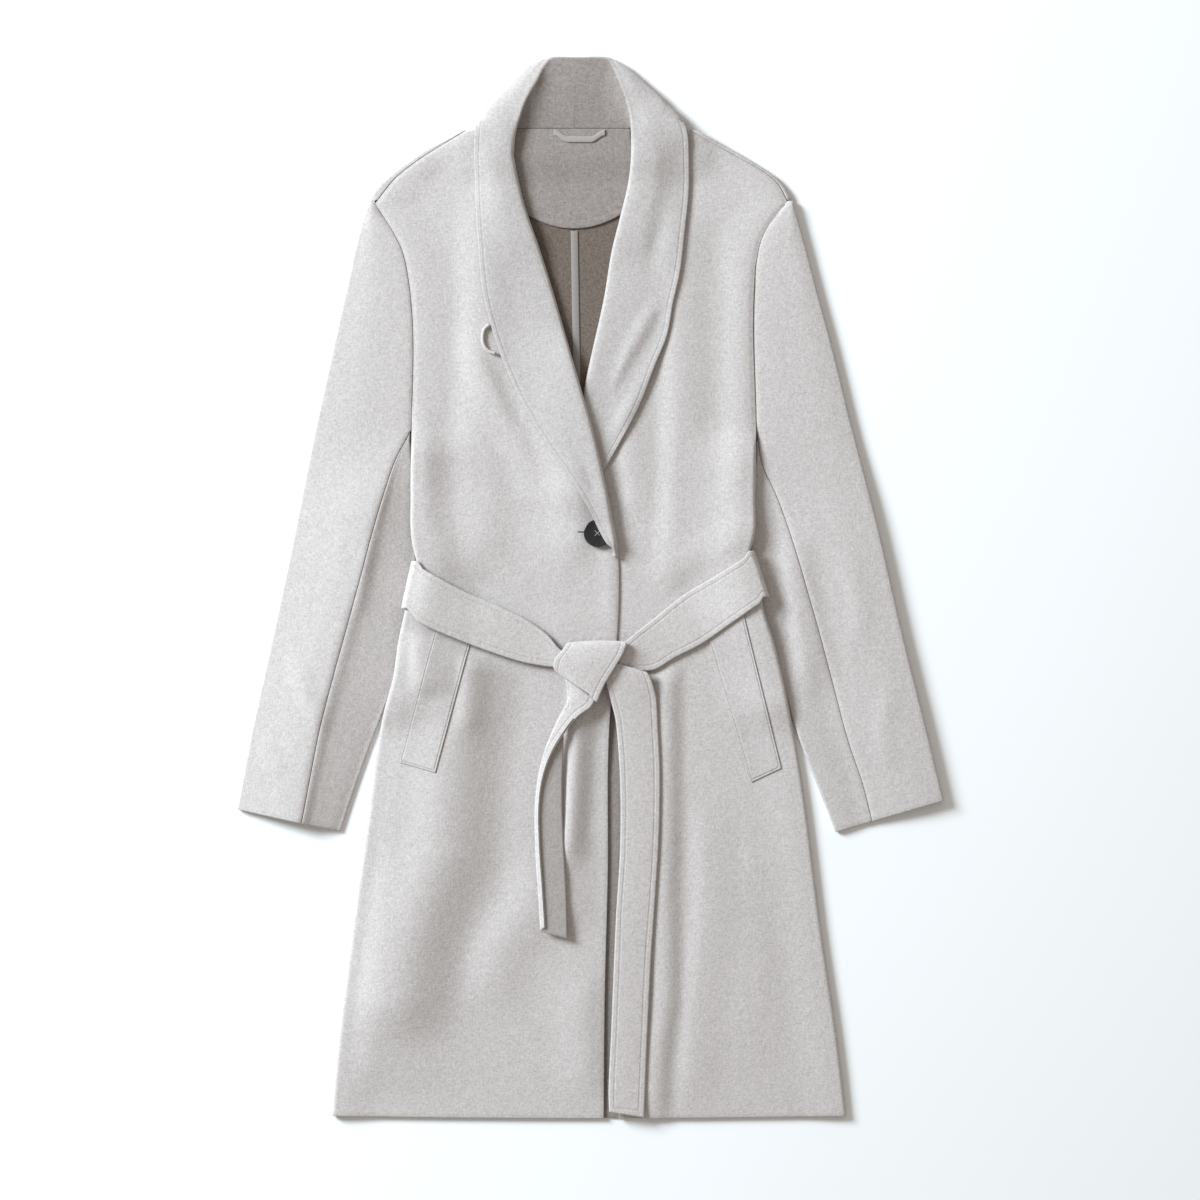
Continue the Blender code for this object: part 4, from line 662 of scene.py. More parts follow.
# Collar where it goes round the neck.  Columns: seam at the neck, roll, then four places on
# the fall from its crown over the outline to its outer edge, each as (x, y, z).
NECK_STATIONS = {
    RIGHT: (
        ((-82.4, 443.0, 11.3), (-76.9, 442.5, 15.0), (-90.0, 446.0, 17.2), (-101.0, 448.0, 16.4),
         (-110.0, 449.0, 15.4), (-115.5, 449.0, 15.0)),
        ((-81.8, 451.0, 11.2), (-75.4, 455.0, 16.2), (-90.0, 459.5, 17.6), (-101.0, 461.5, 16.4),
         (-109.5, 462.5, 15.0), (-113.5, 462.5, 13.2)),
        ((-77.0, 458.0, 8.8), (-71.8, 468.0, 16.0), (-88.0, 474.0, 15.4), (-101.0, 475.5, 12.8),
         (-107.0, 472.5, 8.0), (-104.0, 461.5, 2.0)),
        ((-72.0, 458.0, 7.4), (-65.5, 487.0, 14.2), (-80.0, 489.0, 12.6), (-92.5, 488.4, 8.4),
         (-91.0, 486.0, 2.6), (-94.0, 450.0, 1.6)),
        ((-64.0, 458.0, 6.9), (-54.5, 507.0, 11.4), (-66.0, 507.6, 10.0), (-75.3, 506.6, 6.2),
         (-73.0, 503.0, 2.0), (-76.0, 448.0, 1.6)),
        ((-52.0, 458.0, 6.8), (-46.5, 521.5, 7.4), (-52.0, 523.0, 6.2), (-57.5, 522.4, 4.0),
         (-55.5, 516.5, 1.8), (-56.0, 447.0, 1.6)),
        ((-42.0, 458.0, 6.8), (-38.5, 528.8, 5.0), (-42.0, 528.2, 2.8), (-43.0, 521.0, 1.7),
         (-43.0, 508.0, 1.6), (-42.0, 446.5, 1.6)),
        ((-19.4, 458.0, 6.8), (-15.4, 528.9, 3.9), (-15.4, 519.0, 1.6), (-15.4, 506.0, 1.6),
         (-15.4, 478.0, 1.6), (-15.4, 446.0, 1.6)),
        ((-16.96, 458.0, 6.8), (-12.96, 528.9, 3.9), (-12.96, 519.0, 1.6), (-12.96, 506.0, 1.6),
         (-12.96, 478.0, 1.6), (-12.96, 446.0, 1.6)),
    ),
    LEFT: (
        ((44.4, 443.0, 11.3), (42.0, 442.5, 15.0), (60.0, 446.0, 17.2), (76.0, 448.0, 16.4),
         (90.0, 449.0, 15.4), (97.6, 449.0, 15.0)),
        ((44.4, 451.0, 11.2), (41.9, 455.0, 16.2), (59.0, 459.5, 17.6), (75.0, 461.5, 16.4),
         (88.0, 462.5, 15.0), (93.4, 462.5, 13.2)),
        ((42.0, 458.0, 8.8), (41.2, 467.0, 16.0), (57.0, 474.0, 15.4), (74.0, 475.5, 12.8),
         (86.0, 472.5, 8.0), (84.0, 461.5, 2.0)),
        ((37.0, 458.0, 7.4), (37.4, 483.0, 14.2), (50.0, 486.5, 12.6), (70.6, 487.0, 8.4),
         (70.0, 484.0, 2.6), (73.0, 450.0, 1.6)),
        ((29.0, 458.0, 6.9), (30.5, 502.0, 11.4), (42.0, 504.0, 10.0), (53.5, 503.5, 6.2),
         (51.5, 499.0, 2.0), (54.0, 448.0, 1.6)),
        ((18.0, 458.0, 6.8), (22.5, 520.5, 7.4), (28.0, 522.0, 6.2), (33.0, 521.2, 4.0),
         (31.5, 515.5, 1.8), (34.0, 447.0, 1.6)),
        ((10.0, 458.0, 6.8), (15.5, 528.8, 5.0), (19.0, 528.2, 2.8), (20.0, 521.0, 1.7),
         (20.5, 508.0, 1.6), (20.0, 446.5, 1.6)),
        ((-14.2, 458.0, 6.8), (-10.4, 528.9, 3.9), (-10.4, 519.0, 1.6), (-10.4, 506.0, 1.6),
         (-10.4, 478.0, 1.6), (-10.4, 446.0, 1.6)),
        ((-16.94, 458.0, 6.8), (-12.94, 528.9, 3.9), (-12.94, 519.0, 1.6), (-12.94, 506.0, 1.6),
         (-12.94, 478.0, 1.6), (-12.94, 446.0, 1.6)),
    ),
}
NECK_STATION_STEPS = (3, 2, 4, 6, 7, 6, 5, 6, 1)
COLLAR_STEPS = (2, 4, 4, 4, 6, 6, 6)
COLLAR_FOOT = {RIGHT: (30.4, 36.0, 40.2, 43.6), LEFT: (98.0,)}
# Painted shade inside the neck: how much of the inner side's colour darkens the stand and facing.
NECK_PAINTED_SHADE = 0.655
# How much of its width the right lapel still has by its tapered foot.
FOOT_TAPER = ((29.0, 0.1), (40.4, 0.36), (43.6, 1.0))
# Right lapel over the button: how far it clears it, and where it rises and comes down.
BUTTON_CLEAR = 1.8
BUTTON_LIFT_Y = ((106.0, 68.0), (33.0, 44.0))
# Fullness of the fall: at the break and what it gains up the coat, and its share across.
FULLNESS = (0.3, 1.6)
FULLNESS_Y = (200.0, 330.0)
FALL_START = 4.4
FALL_SWELL = ((0.36, 1.0), (0.58, 0.8), (0.8, 0.4), (1.0, 0.0))


def lapel_controls(side, y):
    """Eight guide points of the collar lying on a front at one height."""
    roll = float(curve(ROLL_LINE[side], y))
    edge = float(curve(COLLAR_EDGE[side], y))
    half = COLLAR_CLOTH / 2
    base_z = float(front_mid(side, roll + side * (FOLD_REACH + SEAM_GAP), y))
    step = CLOTH / 2 + LAY_GAP + half
    lift = BUTTON_THICK + BUTTON_CLEAR if side == RIGHT else 0.0
    lift *= float(band(y, *BUTTON_LIFT_Y))
    narrow = float(curve(FOOT_TAPER, y)) if side == RIGHT else 1.0
    soft = FULLNESS[0] + FULLNESS[1] * float(smooth(y, *FULLNESS_Y))
    fold_top = max(base_z + step + lift + 0.8, base_z + 2 * FOLD_RADIUS)
    points = [(roll + side * FOLD_REACH, y, base_z),
              (roll + side * (half + 1.0), y, base_z + 0.3),
              (roll + side * half, y, (base_z + fold_top) / 2),
              (roll + side * 3.4, y, fold_top - 0.2)]
    reach = side * (edge - roll) * narrow
    least = 1.2 if narrow < 1.0 else 3.6
    for share, swell in FALL_SWELL:
        x = roll + side * (FALL_START + share * max(reach - FALL_START, least))
        z = float(front_mid(side, x, y)) + step + lift + soft * swell
        points.append((x, y, z))
    return np.array(points)


def neck_controls(station):
    """Eight guide points of the collar at a station round the neck."""
    base, roll, crown = (np.array(point, float) for point in station[:3])
    to_base = (base - roll) / np.linalg.norm(base - roll)
    to_crown = (crown - roll) / np.linalg.norm(crown - roll)
    sharp = (1.0 + float(to_base @ to_crown)) / 2.0
    across = to_crown - to_base * float(to_base @ to_crown)
    across /= max(np.linalg.norm(across), 1e-6)
    inner = roll + to_base * FOLD_RADIUS - across * FOLD_RADIUS * sharp
    outer = roll + to_crown * FOLD_RADIUS + across * FOLD_RADIUS * sharp
    return np.array([base, inner, roll, outer, *station[2:]])


def collar_grid(side):
    """Middle points of a collar half: up the lapel, then round to the centre back."""
    rows = WAIST_ROWS + UNDERARM_ROWS + ARMHOLE_ROWS[:-1] + (384.0, 398.0, 414.0, 430.0)
    rows = COLLAR_FOOT[side] + tuple(y for y in rows if y > COLLAR_FOOT[side][-1] + 3.0)
    heights = refine(rows, STEP)
    controls = [lapel_controls(side, y) for y in heights]
    stations = [controls[-1]] + [neck_controls(row) for row in NECK_STATIONS[side]]
    stations = np.array(stations)
    fan = [resample(stations[:, column], NECK_STATION_STEPS) for column in range(8)]
    rows = controls[:-1] + list(np.array(fan).transpose(1, 0, 2))
    grid = np.array([resample(row, COLLAR_STEPS) for row in rows])
    if side == LEFT:
        fall = smooth(np.arange(grid.shape[1]), 12.0, 18.0)[None, :]
        for path, before, after, rise in LAPEL_FOLDS:
            grid[:, :, 2] += fall * fold(grid[:, :, 0], grid[:, :, 1], path, before, after, rise)
    return grid


# Neck facing: the seam allowance at its top, the curve of its lower edge about its middle, its
# height over the back, its ends under the collar, and the first guess and rounds that fit it.
FACING_HEM = 1.9
FACING_FOOT_Y = 358.5
FACING_MID_X = -16.5
FACING_CURVE = (14.0, 47.0)
FACING_GAP = 0.5
FACING_TUCK = 5.0
FACING_GUESS = 90.0
FACING_ROUNDS = 4
# Seam tape from top to foot, and half its width.
TAPE_Y = (356.5, 206.0)
TAPE_HALF = 3.5
# Hanger loop: its ends across, how far it hangs, the place of its top, its width and thickness.
HANGER_X = (-36.5, 14.5)
HANGER_DROP = 6.84
HANGER_TOP_Y = 457.0
HANGER_WIDTH = 6.0
HANGER_THICK = 1.0
HANGER_RISE = 1.5 * CLOTH + 1.4
# Lapel loop: its route (x, y), the place whose height it takes, and its height over the cloth.
LOOP_ROUTE = ((-101.2, 262.0), (-106.0, 257.5), (-107.6, 250.0), (-106.5, 242.0),
              (-101.8, 236.0), (-95.0, 233.5))
LOOP_READ = (-104.0, 246.0)
LOOP_RISE = 2.1
LOOP_RADIUS = 1.7


def facing_grid():
    """Middle points of the back neck facing, with its curved lower edge."""
    top = NECK_Y + FACING_HEM
    depth, half = FACING_CURVE
    rows = []
    for share in np.linspace(0.0, 1.0, 25):
        row = []
        for across in np.linspace(0.0, 1.0, 41):
            y = top - share * FACING_GUESS
            x = 0.0
            for _ in range(FACING_ROUNDS):
                tuck = FACING_TUCK * float(smooth(y, 450.0, 420.0))
                left = float(curve(ROLL_LINE[RIGHT], y)) - tuck
                right = float(curve(ROLL_LINE[LEFT], y)) + tuck
                x = left + across * (right - left)
                low = FACING_FOOT_Y + depth * ((x - FACING_MID_X) / half) ** 2
                y = top + share * (low - top)
            side = RIGHT if x < back_seam_x(y) else LEFT
            row.append((x, y, float(back_mid(side, x, y)) + CLOTH + FACING_GAP))
        rows.append(row)
    return np.array(rows)


def tape_grid():
    """Middle points of the tape over the centre-back seam."""
    rows = []
    for y in np.linspace(*TAPE_Y, 40):
        centre = float(back_seam_x(y)) - 0.5
        z = float(back_mid(RIGHT, centre, y)) + CLOTH / 2 + 0.3 + TAPE / 2
        rows.append([(centre + offset, y, z) for offset in (-TAPE_HALF, 0.0, TAPE_HALF)])
    return np.array(rows)


def hanger_grid():
    """Middle points of the hanger loop, hanging from the neck seam over the facing."""
    rows = []
    for share in np.linspace(0.0, 1.0, 61):
        x = HANGER_X[0] + (HANGER_X[1] - HANGER_X[0]) * share
        top = HANGER_TOP_Y - HANGER_DROP * float(band(share, (0.0, 0.28), (1.0, 0.72)))
        z = float(back_mid(LEFT, x, 450.0)) + HANGER_RISE
        rows.append([(x, top - drop, z + 0.3 * math.sin(math.pi * drop / HANGER_WIDTH))
                     for drop in np.linspace(0.0, HANGER_WIDTH, 7)])
    return np.array(rows)


def lapel_loop_points():
    """Route of the small loop at the outer edge of the lapel."""
    z = float(front_mid(RIGHT, *LOOP_READ)) + CLOTH / 2 + LOOP_RISE
    return [(x, y, z) for x, y in LOOP_ROUTE]


# Welts: corners (x, y) at the top and bottom of the edge nearer the side and the inner edge,
# and the height of their middle over the front's.
WELTS = {
    RIGHT: (((-153.5, -36.5), (-190.5, -174.5)), ((-118.6, -51.0), (-154.5, -184.5))),
    LEFT: (((151.6, -23.0), (190.5, -180.5)), ((115.2, -43.0), (160.5, -194.5))),
}
WELT_RISE = CLOTH / 2 + 0.3 + WELT_CLOTH / 2


def welt_grid(side):
    """Middle points of a slanted welt lying on a front."""
    outer, inner = (np.array(edge) for edge in WELTS[side])
    rows = []
    for share in np.linspace(0.0, 1.0, 41):
        row = []
        for across in np.linspace(0.0, 1.0, 15):
            top, low = outer * (1 - across) + inner * across
            x, y = top * (1 - share) + low * share
            row.append((x, y, float(front_mid(side, x, y)) + WELT_RISE))
        rows.append(row)
    return np.array(rows)


# Belt runs from the side to the knot.  Columns: upper edge (x, y), lower edge (x, y), height
# of the belt over the front.
BELT_RUNS = {
    RIGHT: (
        ((-178.5, 26.5), (-189.0, -21.0), 0.4),
        ((-160.5, 15.0), (-166.0, -37.0), 3.4),
        ((-126.5, -3.5), (-137.0, -50.0), 5.9),
        ((-95.0, -17.0), (-102.0, -63.5), 5.2),
        ((-64.9, -31.5), (-69.5, -74.0), 3.8),
        ((-43.5, -46.5), (-46.0, -78.5), 3.2),
        ((-29.5, -62.0), (-31.5, -80.0), 3.0),
        ((-16.0, -68.0), (-18.0, -84.0), 3.0),
    ),
    LEFT: (
        ((163.5, 36.5), (178.5, -9.5), 0.5),
        ((147.5, 26.0), (163.5, -19.5), 1.1),
        ((122.5, 10.5), (141.5, -35.0), 1.4),
        ((92.5, -7.5), (111.5, -56.0), 1.0),
        ((65.5, -29.0), (84.5, -70.0), 1.0),
        ((49.5, -41.5), (64.5, -82.0), 1.8),
        ((35.5, -53.0), (47.0, -84.0), 3.4),
        ((24.0, -62.0), (32.0, -88.0), 4.7),
    ),
}


# Run of the belt: steps for each row of the table, points across, the turn round the side in
# degrees, how far it springs up there, the first step after it, and the gathers by the knot.
RUN_STEPS = 9
RUN_COLUMNS = 19
RUN_TURNS = (-120.0, -90.0, 90.0)
RUN_SPRING = 0.6
RUN_FIRST = 6
BUNCH = 1.2
BUNCH_STEPS = 22


def edge_lines(table, steps):
    """Smooth lines down the columns of a table, with a set number of steps for each row."""
    return [resample([np.ravel(place) for place in column], [steps] * (len(table) - 1))
            for column in zip(*table)]


def belt_run_grid(side):
    """Middle points of a belt run: from under the body, round its side, to the knot."""
    rows = []
    stations = BELT_RUNS[side]
    shares = np.linspace(0.0, 1.0, RUN_COLUMNS)
    upper0, lower0 = np.array(stations[0][0]), np.array(stations[0][1])
    for angle in refine(RUN_TURNS, 12.0):
        across, part = math.cos(math.radians(angle)), math.sin(math.radians(max(angle, -90.0)))
        row = []
        for share in shares:
            x0, y = upper0 * (1 - share) + lower0 * share
            read = float(front_outer(side, y)) - side * LAYER_READ
            low = float(back_mid(side, read, y)) - BELT_MID_STEP
            top = float(front_mid(side, read, y)) + BELT_MID_STEP + RUN_SPRING
            x = x0 - side * (BELT_CLOTH / 2 + BELT_TURN * (1.0 - across))
            row.append((x, y, (low + top) / 2 + part * (top - low) / 2))
        rows.append(row)
    upper, lower, rise = edge_lines(stations, RUN_STEPS)
    for number in range(RUN_FIRST, len(upper)):
        gathered = BUNCH * float(smooth(number, len(upper) - BUNCH_STEPS, len(upper)))
        row = []
        for share in shares:
            x, y = upper[number] * (1 - share) + lower[number] * share
            z = float(front_mid(side, x, y, False)) + BELT_MID_STEP + float(rise[number][0])
            row.append((x, y, z + gathered * math.sin(math.pi * share)))
        rows.append(row)
    return np.array(rows)


# How far the belt sags where it climbs from the surface to the body's side.
BELT_SAG = 0.9


def belt_back_grid():
    """Middle points of the belt behind the waist, lying under the back."""
    reach = BELT_TURN * 1.5 + BELT_CLOTH / 2 + SEAM_GAP
    ends = [(np.array(upper) - (side * reach, 0.0), np.array(lower) - (side * reach, 0.0))
            for side in (RIGHT, LEFT) for upper, lower, _ in BELT_RUNS[side][:1]]
    rows = []
    for share in refine((0.0, 0.16, 0.84, 1.0), 0.014):
        row = []
        for across in np.linspace(0.0, 1.0, 15):
            right, left = (upper + (lower - upper) * across for upper, lower in ends)
            x, y = right + share * (left - right)
            side = RIGHT if x < 0.0 else LEFT
            under = float(back_mid(side, x, y))
            end = float(back_mid(side, float(front_outer(side, y)) - side * LAYER_READ, y))
            climbed = 2.0 * (under - BACK_MID - BELT_LIFT) / SLEEVE_LIFT - 1.0
            sag = BELT_SAG * (1.0 - abs(climbed) ** 2)
            sag *= float(abs(end - under) > 0.05)
            row.append((x, y, max(BELT_CLOTH / 2, under - BELT_MID_STEP - max(sag, 0.0))))
        rows.append(row)
    return np.array(rows)


# Knot and tails.  Columns: one edge (x, y, z), then on the curled tail the bend along its
# middle, and the other edge.
KNOT_ROWS = (
    ((-22.0, -58.5, 14.2), (33.0, -57.5, 14.6)),
    ((-23.0, -56.2, 16.4), (35.5, -55.0, 16.8)),
    ((-24.5, -57.5, 18.8), (36.0, -57.0, 18.8)),
    ((-29.5, -64.0, 20.6), (31.5, -68.0, 20.6)),
    ((-35.5, -71.0, 20.8), (23.0, -82.0, 21.4)),
    ((-37.0, -78.0, 19.4), (13.5, -98.0, 20.8)),
    ((-35.5, -82.0, 17.6), (6.5, -114.5, 19.6)),
)
TAIL_RIGHT_ROWS = (
    ((7.0, -107.0, 16.2), (-9.0, -91.0, 16.4), (-25.0, -74.0, 15.0)),
    ((0.5, -119.0, 17.2), (-13.0, -104.5, 16.4), (-25.0, -88.0, 14.0)),
    ((-12.0, -128.5, 17.8), (-23.0, -117.5, 15.4), (-22.0, -116.5, 12.6)),
    ((-24.5, -143.5, 17.6), (-33.6, -136.0, 14.4), (-26.0, -138.0, 11.8)),
    ((-38.5, -166.0, 16.8), (-44.0, -161.5, 13.6), (-27.0, -160.0, 11.4)),
    ((-47.4, -192.0, 16.2), (-50.8, -189.0, 13.0), (-28.0, -190.0, 11.2)),
    ((-50.8, -222.0, 15.6), (-54.2, -222.0, 12.8), (-28.0, -222.0, 11.2)),
    ((-49.8, -262.0, 15.4), (-53.5, -262.0, 12.6), (-26.5, -262.0, 11.2)),
    ((-47.2, -300.0, 15.0), (-51.0, -302.0, 12.4), (-24.0, -306.0, 11.0)),
    ((-44.8, -338.5, 14.4), (-48.5, -343.0, 12.0), (-23.0, -350.5, 10.8)),
)
TAIL_LEFT_ROWS = (
    ((12.0, -71.5, 14.4), (56.0, -84.0, 15.0)),
    ((12.0, -75.0, 15.8), (59.0, -88.0, 14.8)),
    ((13.5, -88.0, 16.2), (63.0, -99.0, 12.8)),
    ((20.0, -112.0, 15.0), (66.0, -112.0, 10.6)),
    ((25.5, -136.0, 13.8), (67.5, -140.0, 10.2)),
    ((29.5, -194.0, 12.9), (69.5, -184.0, 10.2)),
    ((29.5, -260.0, 12.6), (68.5, -248.0, 10.2)),
    ((25.5, -327.0, 12.4), (64.5, -312.0, 10.1)),
    ((23.5, -372.0, 12.2), (60.5, -372.0, 9.8)),
    ((20.5, -445.0, 12.0), (56.5, -455.0, 9.8)),
    ((18.0, -500.0, 11.8), (54.5, -505.0, 9.8)),
    ((18.5, -523.0, 11.6), (53.5, -528.8, 9.8)),
)


def strip_grid(table, steps, columns, arch):
    """A strip between two edges, slightly arched across its width."""
    first, other = edge_lines(table, steps)
    along = np.gradient((first + other) / 2, axis=0)
    normal = unit(np.cross(other - first, along))
    normal *= np.sign(normal[:, 2].mean())
    return np.array([[a + (b - a) * share + up * arch * math.sin(math.pi * share)
                      for share in np.linspace(0.0, 1.0, columns)]
                     for a, b, up in zip(first, other, normal)])


def curled_grid(table, steps, columns):
    """A strip that curls over lengthwise: each row walks from one edge round a bend."""
    return np.array([resample(points, [columns // 2] * 2)
                     for points in zip(*edge_lines(table, steps))])

def collar_painted_shade(grid):
    """Painted shade on the collar, in the inner side's colour: most inside the stand."""
    across = np.linspace(0.0, 1.0, grid.shape[1])
    share = NECK_PAINTED_SHADE * (1.0 - smooth(across, 0.08, 0.2))
    return share[None, :] * smooth(grid[:, :, 1], 330.0, 470.0), 1.0


def tube_mesh(route, radius, sides):
    """Points and faces of a closed tube along a route."""
    route = resample(route, [8] * (len(route) - 1))
    tangents = unit(np.gradient(route, axis=0))
    side = np.cross(tangents, np.array([0.0, 0.0, 1.0]))
    flat = np.linalg.norm(side, axis=1) < 0.05
    side[flat] = (1.0, 0.0, 0.0)
    side = unit(side)
    up = unit(np.cross(side, tangents))
    angles = 2.0 * np.pi * np.arange(sides) / sides
    rings = (route[:, None, :] + radius * (np.cos(angles)[None, :, None] * side[:, None, :]
                                           + np.sin(angles)[None, :, None] * up[:, None, :]))
    points = list(rings.reshape(-1, 3))
    faces = []
    for ring in range(len(route) - 1):
        for number in range(sides):
            a = ring * sides + number
            b = ring * sides + (number + 1) % sides
            faces.append((a, b, b + sides, a + sides))
    for end, ring in ((0, 0), (1, len(route) - 1)):
        centre = len(points)
        points.append(route[ring])
        for number in range(0, sides, 2):
            a = ring * sides + number
            b = ring * sides + (number + 1) % sides
            c = ring * sides + (number + 2) % sides
            faces.append((a, b, c, centre) if end else (c, b, a, centre))
    return np.array(points), np.array(faces)


def button_place():
    """Middle of the button, the height of its underside and its tilt up the coat."""
    x0, y0 = BUTTON_AT
    turn = np.linspace(0.0, 2.0 * math.pi, 25)
    rim_y = y0 + BUTTON_RADIUS * np.sin(turn)
    rim_z = front_mid(RIGHT, x0 + BUTTON_RADIUS * np.cos(turn), rim_y)
    slope = float(rim_z[6] - rim_z[18]) / (2.0 * BUTTON_RADIUS)
    base = float((rim_z - slope * (rim_y - y0)).max()) + COLLAR_CLOTH / 2 + 0.4
    return x0, y0, base, slope


# --------------------------------------------------------------------------- cloth meshes

# Edges of a cloth: how round a sewn and a flush one still are, and the turns, in degrees, of
# the places round the rim between its two faces.
SEWN_ROUND = 0.3
FLUSH_ROUND = 0.02
RIM_TURNS = (52.0, 18.0, -18.0, -52.0)
# Each edge of a grid by name: the direction that leads away from it, and from which end.
EDGES = {"start": (0, False), "end": (0, True), "first": (1, False), "last": (1, True)}


def refine(keys, step):
    """Add places between the given ones, so that none is further from the next than step."""
    places = [keys[0]]
    for first, second in zip(keys, keys[1:]):
        parts = max(1, math.ceil(abs(second - first) / step))
        places += [first + (second - first) * part / parts for part in range(1, parts + 1)]
    return tuple(places)


def unit(vectors):
    """Vectors of length one."""
    return vectors / np.maximum(np.linalg.norm(vectors, axis=-1, keepdims=True), 1e-9)


def normals_of(grid):
    """Direction across the cloth at each point of a grid."""
    return unit(np.cross(directions(grid, 0), directions(grid, 1)))


def distances(grid, axis, backward=False):
    """Distance walked over the cloth from one edge of a grid."""
    steps = np.linalg.norm(np.diff(grid, axis=axis), axis=2)
    if backward:
        steps = np.flip(steps, axis)
    walked = np.cumsum(steps, axis=axis)
    zero = np.zeros_like(np.take(walked, [0], axis=axis))
    walked = np.concatenate([zero, walked], axis=axis)
    return np.flip(walked, axis) if backward else walked


def stitch_distance(grid, edges, inset):
    """Distance in metres from a stitched line that runs inside the named edges."""
    nearest = np.minimum.reduce([distances(grid, *EDGES[edge]) for edge in edges])
    return (nearest - inset) * MM


def edge_ring(rows, columns):
    """Rows and columns of the places round a grid's edge, in order."""
    ring = [(0, column) for column in range(columns)]
    ring += [(row, columns - 1) for row in range(1, rows)]
    ring += [(rows - 1, column) for column in range(columns - 2, -1, -1)]
    ring += [(row, 0) for row in range(rows - 2, 0, -1)]
    return np.array(ring).T


def outward(grid, row, column):
    """Direction out of the cloth at places on its edge."""
    rows, columns = grid.shape[:2]
    down = 1.0 * (row == rows - 1) - (row == 0)
    over = 1.0 * (column == columns - 1) - (column == 0)
    return unit(unit(directions(grid, 0))[row, column] * down[:, None]
                + unit(directions(grid, 1))[row, column] * over[:, None])


def shell_faces(rows, columns, ring):
    """Faces of a shell: its two sides, then the strips round its rim."""
    other = rows * columns
    index = np.arange(other).reshape(rows, columns)
    a, b = index[:-1, :-1].ravel(), index[:-1, 1:].ravel()
    c, d = index[1:, 1:].ravel(), index[1:, :-1].ravel()
    faces = [np.column_stack([a, d, c, b]), np.column_stack([a, b, c, d]) + other]
    count = len(ring)
    levels = [ring, *(2 * other + level * count + np.arange(count)
                      for level in range(len(RIM_TURNS))), ring + other]
    for upper, lower in zip(levels, levels[1:]):
        faces.append(np.column_stack([upper, np.roll(upper, -1), np.roll(lower, -1), lower]))
    return np.concatenate(faces)


def shell_values(grid, ring, reverse, stitched, inset):
    """What the finish reads at each point: inner side, distance off a seam and along it."""
    top, under = (np.broadcast_to(share, grid.shape[:2]).ravel() for share in reverse)
    shares = [top, under]
    for turn in RIM_TURNS:
        share = (1.0 - math.sin(math.radians(turn))) / 2.0
        shares.append(top[ring] * (1.0 - share) + under[ring] * share)
    far = np.ones(len(top))
    if stitched:
        far = stitch_distance(grid, stitched, inset).ravel()
    along = distances(grid, 0 if {"first", "last"} & set(stitched) else 1).ravel() * MM
    values = {"reverse": np.concatenate(shares)}
    for key, field in (("stitch", far), ("run", along)):
        values[key] = np.concatenate([field, field] + [field[ring]] * len(RIM_TURNS))
    return values


def cloth(name, grid, thickness, finish, node, reverse=(0.0, 1.0), stitched=(), inset=5.0,
          softness=1.0, level=(0.5, 0.5), flush=(), sewn=()):
    """A cloth shell with soft, rounded edges about a grid of middle points.

    reverse says how much of the cloth's brown inner side each face shows, upper face first; it
    also lays painted shade in the neck and painted light on the back's inside.
    level is a place on the grid, as shares of its rows and columns, where that face looks up.
    flush names the edges left square, where the cloth runs on into the next piece, and sewn
    those that are nearly so, at a seam.
    """
    grid = np.asarray(grid, float)
    rows, columns = grid.shape[:2]
    normals = normals_of(grid)
    if normals[int(level[0] * (rows - 1)), int(level[1] * (columns - 1)), 2] < 0.0:
        normals = -normals
    half = thickness / 2
    row, column = edge_ring(rows, columns)
    ways = outward(grid, row, column)
    on_edge = {"start": row == 0, "end": row == rows - 1,
               "first": column == 0, "last": column == columns - 1}
    soft = np.ones(len(row))
    for edges, share in ((sewn, SEWN_ROUND), (flush, FLUSH_ROUND)):
        for edge in edges:
            soft[on_edge[edge]] = share
    pull = ways * soft[:, None] * half * softness
    pulled = grid.copy()
    pulled[row, column] -= pull
    points = [(pulled + normals * half).reshape(-1, 3), (pulled - normals * half).reshape(-1, 3)]
    for turn in RIM_TURNS:
        angle = math.radians(turn)
        points.append(grid[row, column] - pull * (1.0 - math.cos(angle))
                      + normals[row, column] * half * math.sin(angle))
    points = np.concatenate(points)
    points[:, 2] = np.maximum(points[:, 2], 0.0)

    ring = row * columns + column
    item = piece_of(name, points, shell_faces(rows, columns, ring), finish,
                    shell_values(grid, ring, reverse, stitched, inset))
    if flush:
        item.data.set_sharp_from_angle(angle=math.radians(62.0))
    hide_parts(node)
    return item


def piece_of(name, points, faces, finish, values=None):
    """Make one closed piece in metres with its faces pointing out."""
    mesh = bpy.data.meshes.new(name)
    mesh.from_pydata((points * MM).tolist(), [], faces.tolist())
    mesh.update()
    a, b, c, d = (points[faces[:, corner]] for corner in range(4))
    if (a * (np.cross(b, c) + np.cross(c, d))).sum() < 0.0:
        mesh.flip_normals()
    for key, spread_values in (values or {}).items():
        layer = mesh.attributes.new(key, "FLOAT", "POINT")
        layer.data.foreach_set("value", spread_values.astype(np.float32))
    mesh.shade_smooth()
    mesh.materials.append(finish)
    item = bpy.data.objects.new(name, mesh)
    bpy.context.scene.collection.objects.link(item)
    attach(item, "root")
    return item


def laid_size(grid):
    """Width and length of the cloth that a piece is cut from, and its area, in metres."""
    grid = np.asarray(grid, float)
    across = distances(grid, 1)[:, -1].max() * MM
    along = distances(grid, 0)[-1].max() * MM
    first = np.cross(grid[1:, :-1] - grid[:-1, :-1], grid[:-1, 1:] - grid[:-1, :-1])
    second = np.cross(grid[:-1, 1:] - grid[1:, 1:], grid[1:, :-1] - grid[1:, 1:])
    area = (np.linalg.norm(first, axis=2).sum() + np.linalg.norm(second, axis=2).sum()) / 2
    return across, along, area * MM * MM


def lay(item, grid, held, rests_on, **more):
    """Work out the width, length and area of cloth that a piece's grid spreads over."""
    across, along, area = laid_size(grid)


# --------------------------------------------------------------------------- shader maths

